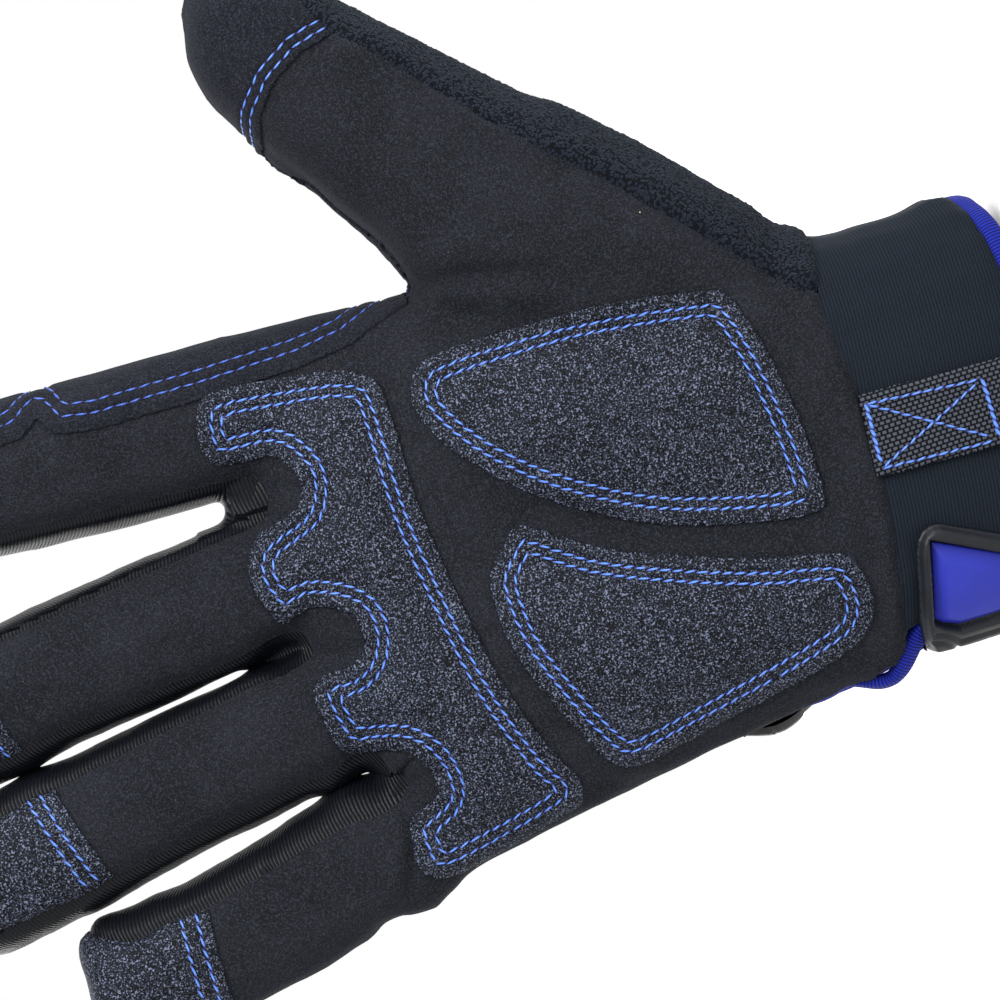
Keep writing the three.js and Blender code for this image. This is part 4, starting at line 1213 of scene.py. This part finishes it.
boxStitch = {"pitch": 2.0, "length": 2.2, "width": 0.4, "height": 0.38, "lift": 0.12, "slant": 0.14}
heavyStitch = {"pitch": 1.5, "length": 2.1, "width": 0.6, "height": 0.5, "lift": 0.16, "slant": 0.3}
boxLines = [  # the box and its cross, as x and z
    ([(6.2, 32.1), (-5.5, 32.3)], heavyStitch), ([(-5.5, 32.2), (-5.9, 11.0)], boxStitch),
    ([(6.2, 32.0), (5.2, 11.3)], boxStitch), ([(5.2, 11.2), (-5.9, 10.9)], heavyStitch),
    ([(6.0, 31.8), (-5.7, 11.2)], boxStitch), ([(-5.3, 32.0), (5.1, 11.5)], boxStitch)]
thread = newThread()
for ends, stitch in boxLines:
    line = []
    for t in np.linspace(0, 1, 30):
        x, z = np.array(ends[0]) * (1 - t) + np.array(ends[1]) * t
        hit, normal = pullTree.ray_cast(Vector((x, -60, z)), Vector((0, 1, 0)))[:2]
        if hit is not None:
            line.append((hit, normal if normal.y < 0 else -normal))
    if len(line) > 3:
        stitchAlong(thread, line, stitch)
finishPiece("pull_tab_stitches", thread, blueThread)

strapShape = {"height": 2.0, "low": 5.5, "high": 28, "thumbSide": 27, "hem": 2.2, "edgeDrop": 0.5, "furrow": 0.35,
              "furrowWidth": 0.5}
strap = cuffSheet(30, 179.5, strapShape["low"] - 1, strapShape["high"] + 1, 0.5)
trim(strap, lambda places: np.max([
    strapShape["low"] - places[:, 2], places[:, 2] - strapShape["high"], places[:, 0] - strapShape["thumbSide"],
    0.3 - places[:, 1]], axis=0))
inside = edgeDistance(strap)
keepValues(strap, "row", inside)
raiseBy(strap, strapShape["height"] - strapShape["edgeDrop"] * bell(inside, 0.7) - furrowsAt(
    inside, (strapShape["hem"],), strapShape), 0.2)
thread = stitchRows(strap, (strapShape["hem"],), boxStitch)
finishPiece("closure_strap_webbing", strap, strapWeave, ("closure_strap",))
finishPiece("closure_strap_stitches", thread, blackThread)

# the moulded guard on the back of the hand
guardShape = {
    "outline": [(-47, 52), (-51, 57), (-53, 63), (-52, 70), (-44, 80), (-36, 104), (-26, 118), (4, 126), (16, 118),
                (18, 96), (8, 66), (-8, 54), (-30, 50)],
    "window": [(-30, 62), (-38, 72), (-26, 106), (0, 114), (6, 98), (-4, 72)],
    "front": 6.5, "edge": 0.9, "height": 2.8, "ridge": 0.7, "ridgeAt": 4.2,
    "belly": 3.9, "bellyAt": 59, "bellyReach": 7.5,  # its edge stands out past the side of the hand
}
guardOutline, windowOutline = rounded(guardShape["outline"]), rounded(guardShape["window"])


def guardLevel(points):
    return np.max([outlineLevel(points, guardOutline), -outlineLevel(points, windowOutline),
                   guardShape["front"] - points[:, 1]], axis=0)


guard = skinPart(guardLevel(skinPlaces))
halve(guard)
points = trim(guard, guardLevel)
inside = edgeDistance(guard)
height = guardShape["edge"] + (guardShape["height"] - guardShape["edge"]) * np.sqrt(smoothSteps(inside, -0.2, 2.4))
height -= guardShape["ridge"] * smoothSteps(np.abs(inside - guardShape["ridgeAt"]), 0.9, 0.35)
belly = bell(points[:, 2] - guardShape["bellyAt"], guardShape["bellyReach"]) * smoothSteps(-points[:, 0], 22, 34)
for vert, out in zip(guard.verts, belly * bell(points[:, 1] - 8, 5)):
    vert.co.x -= guardShape["belly"] * out
raiseBy(guard, height, 0.3)
finishPiece("back_guard_rubber", guard, guardRubber, ("back_guard",))

skin.free()
